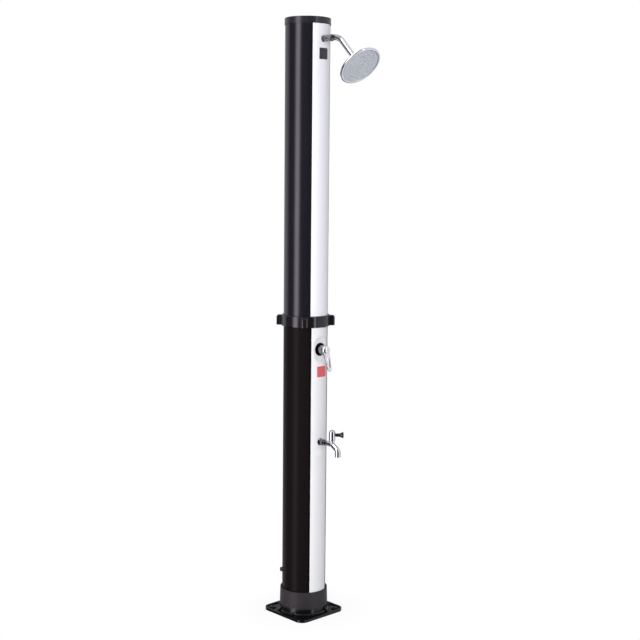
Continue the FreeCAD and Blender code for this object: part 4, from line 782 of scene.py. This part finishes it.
# %% Inlet thread
inlet_low, inlet_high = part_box("inlet_connector")
LOW_FITTINGS = 0.158
THREAD_START, THREAD_RADIUS, THREAD_PITCH = 0.0925, 0.0104, 0.00181
END_BEVEL = 0.0016
turns = (inlet_high.y - END_BEVEL - THREAD_START) / THREAD_PITCH
thread = Recipe("thread", Turns=float(turns), Pitch=THREAD_PITCH, Radius=THREAD_RADIUS, Crest=0.00055)
helix = thread.add("GeometryNodeCurveSpiral", {}, {
    "Resolution": 48, "Rotations": "Turns", "Start Radius": "Radius", "End Radius": "Radius",
    "Height": thread.times(thread.given["Turns"], thread.given["Pitch"])})
ridge = thread.add("GeometryNodeCurvePrimitiveCircle", {}, {"Resolution": 4, "Radius": "Crest"})
thread.last = thread.add("GeometryNodeCurveToMesh", {}, {
    "Curve": helix, "Profile Curve": ridge, "Fill Caps": True})
thread.baked("inlet_thread_ridge", finish_of("inlet_connector"), "post",
             facing((0, THREAD_START, LOW_FITTINGS), (0, 1, 0)))

# %% [markdown]
# The spout's screen is a row of straight wires. Each is a cube stretched to the chord of the round opening
# at its own place in the row. The same row turned by a right angle crosses it.

# %% Screen in the spout
outlet_low, outlet_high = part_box("tap_aerator")
outlet = (outlet_low + outlet_high) / 2
AERATOR_WALL, SCREEN_UP = 0.0022, 0.0013
SCREEN_RADIUS = (outlet_high.x - outlet_low.x) / 2 - AERATOR_WALL
ROW_SPAN = 1.84  # of the radius, so that the outermost wires keep some length
screen = Recipe("screen", Wires=11, Radius=SCREEN_RADIUS, Wire=0.00018)
wires, opening, wire = (screen.given[title] for title in ("Wires", "Radius", "Wire"))
step = screen.maths("DIVIDE", screen.times(opening, ROW_SPAN), wires)
half_row = screen.times(step, screen.maths("SUBTRACT", wires, 1.0))
start = screen.add("ShaderNodeCombineXYZ", {}, {"X": screen.times(half_row, -0.5)})
offset = screen.add("ShaderNodeCombineXYZ", {}, {"X": step})
row = screen.add("GeometryNodeMeshLine", {}, {"Count": wires, "Start Location": start, "Offset": offset})
along = screen.add("ShaderNodeSeparateXYZ", {}, {0: screen.add("GeometryNodeInputPosition")}, "X")
half_chord = screen.maths("SQRT", screen.maths(
    "SUBTRACT", screen.times(opening, opening), screen.times(along, along)))
size = screen.add("ShaderNodeCombineXYZ", {}, {"X": wire, "Y": screen.times(half_chord, 2.0), "Z": wire})
bar = screen.add("GeometryNodeMeshCube", {}, {"Size": (1.0, 1.0, 1.0)})
bars = screen.add("GeometryNodeInstanceOnPoints", {}, {"Points": row, "Instance": bar, "Scale": size})
crossed = screen.add("GeometryNodeTransform", {}, {"Geometry": bars, "Rotation": (0, 0, math.pi / 2)})
both = screen.group.nodes.new("GeometryNodeJoinGeometry")
screen.group.links.new(bars, both.inputs[0])
screen.group.links.new(crossed, both.inputs[0])
screen.last = both.outputs[0]
screen.baked("outlet_screen", finish_of("lever_stem"), "post",
             Matrix.Translation((outlet.x, outlet.y, outlet_low.z + SCREEN_UP)))

# %% [markdown]
# The drain plug's flutes are thin round posts on a circle round its knob.

# %% Flutes of the drain plug
DRAIN_AXIS = Vector((-0.788, 0.6157, 0)).normalized()
KNOB_OUT = 0.0858
flutes = Recipe("flutes", Count=16, Radius=0.0069, Length=0.0042, Ridge=0.0006)
ring = flutes.add("GeometryNodeMeshCircle", {}, {"Vertices": "Count", "Radius": "Radius"})
flute = flutes.add("GeometryNodeMeshCylinder", {}, {"Vertices": 10, "Radius": "Ridge", "Depth": "Length"})
flutes.last = flutes.add("GeometryNodeInstanceOnPoints", {}, {"Points": ring, "Instance": flute})
flutes.baked("drain_flutes", finish_of("drain_plug"), "drain_cap",
             facing(DRAIN_AXIS * KNOB_OUT + Vector((0, 0, LOW_FITTINGS)), DRAIN_AXIS))
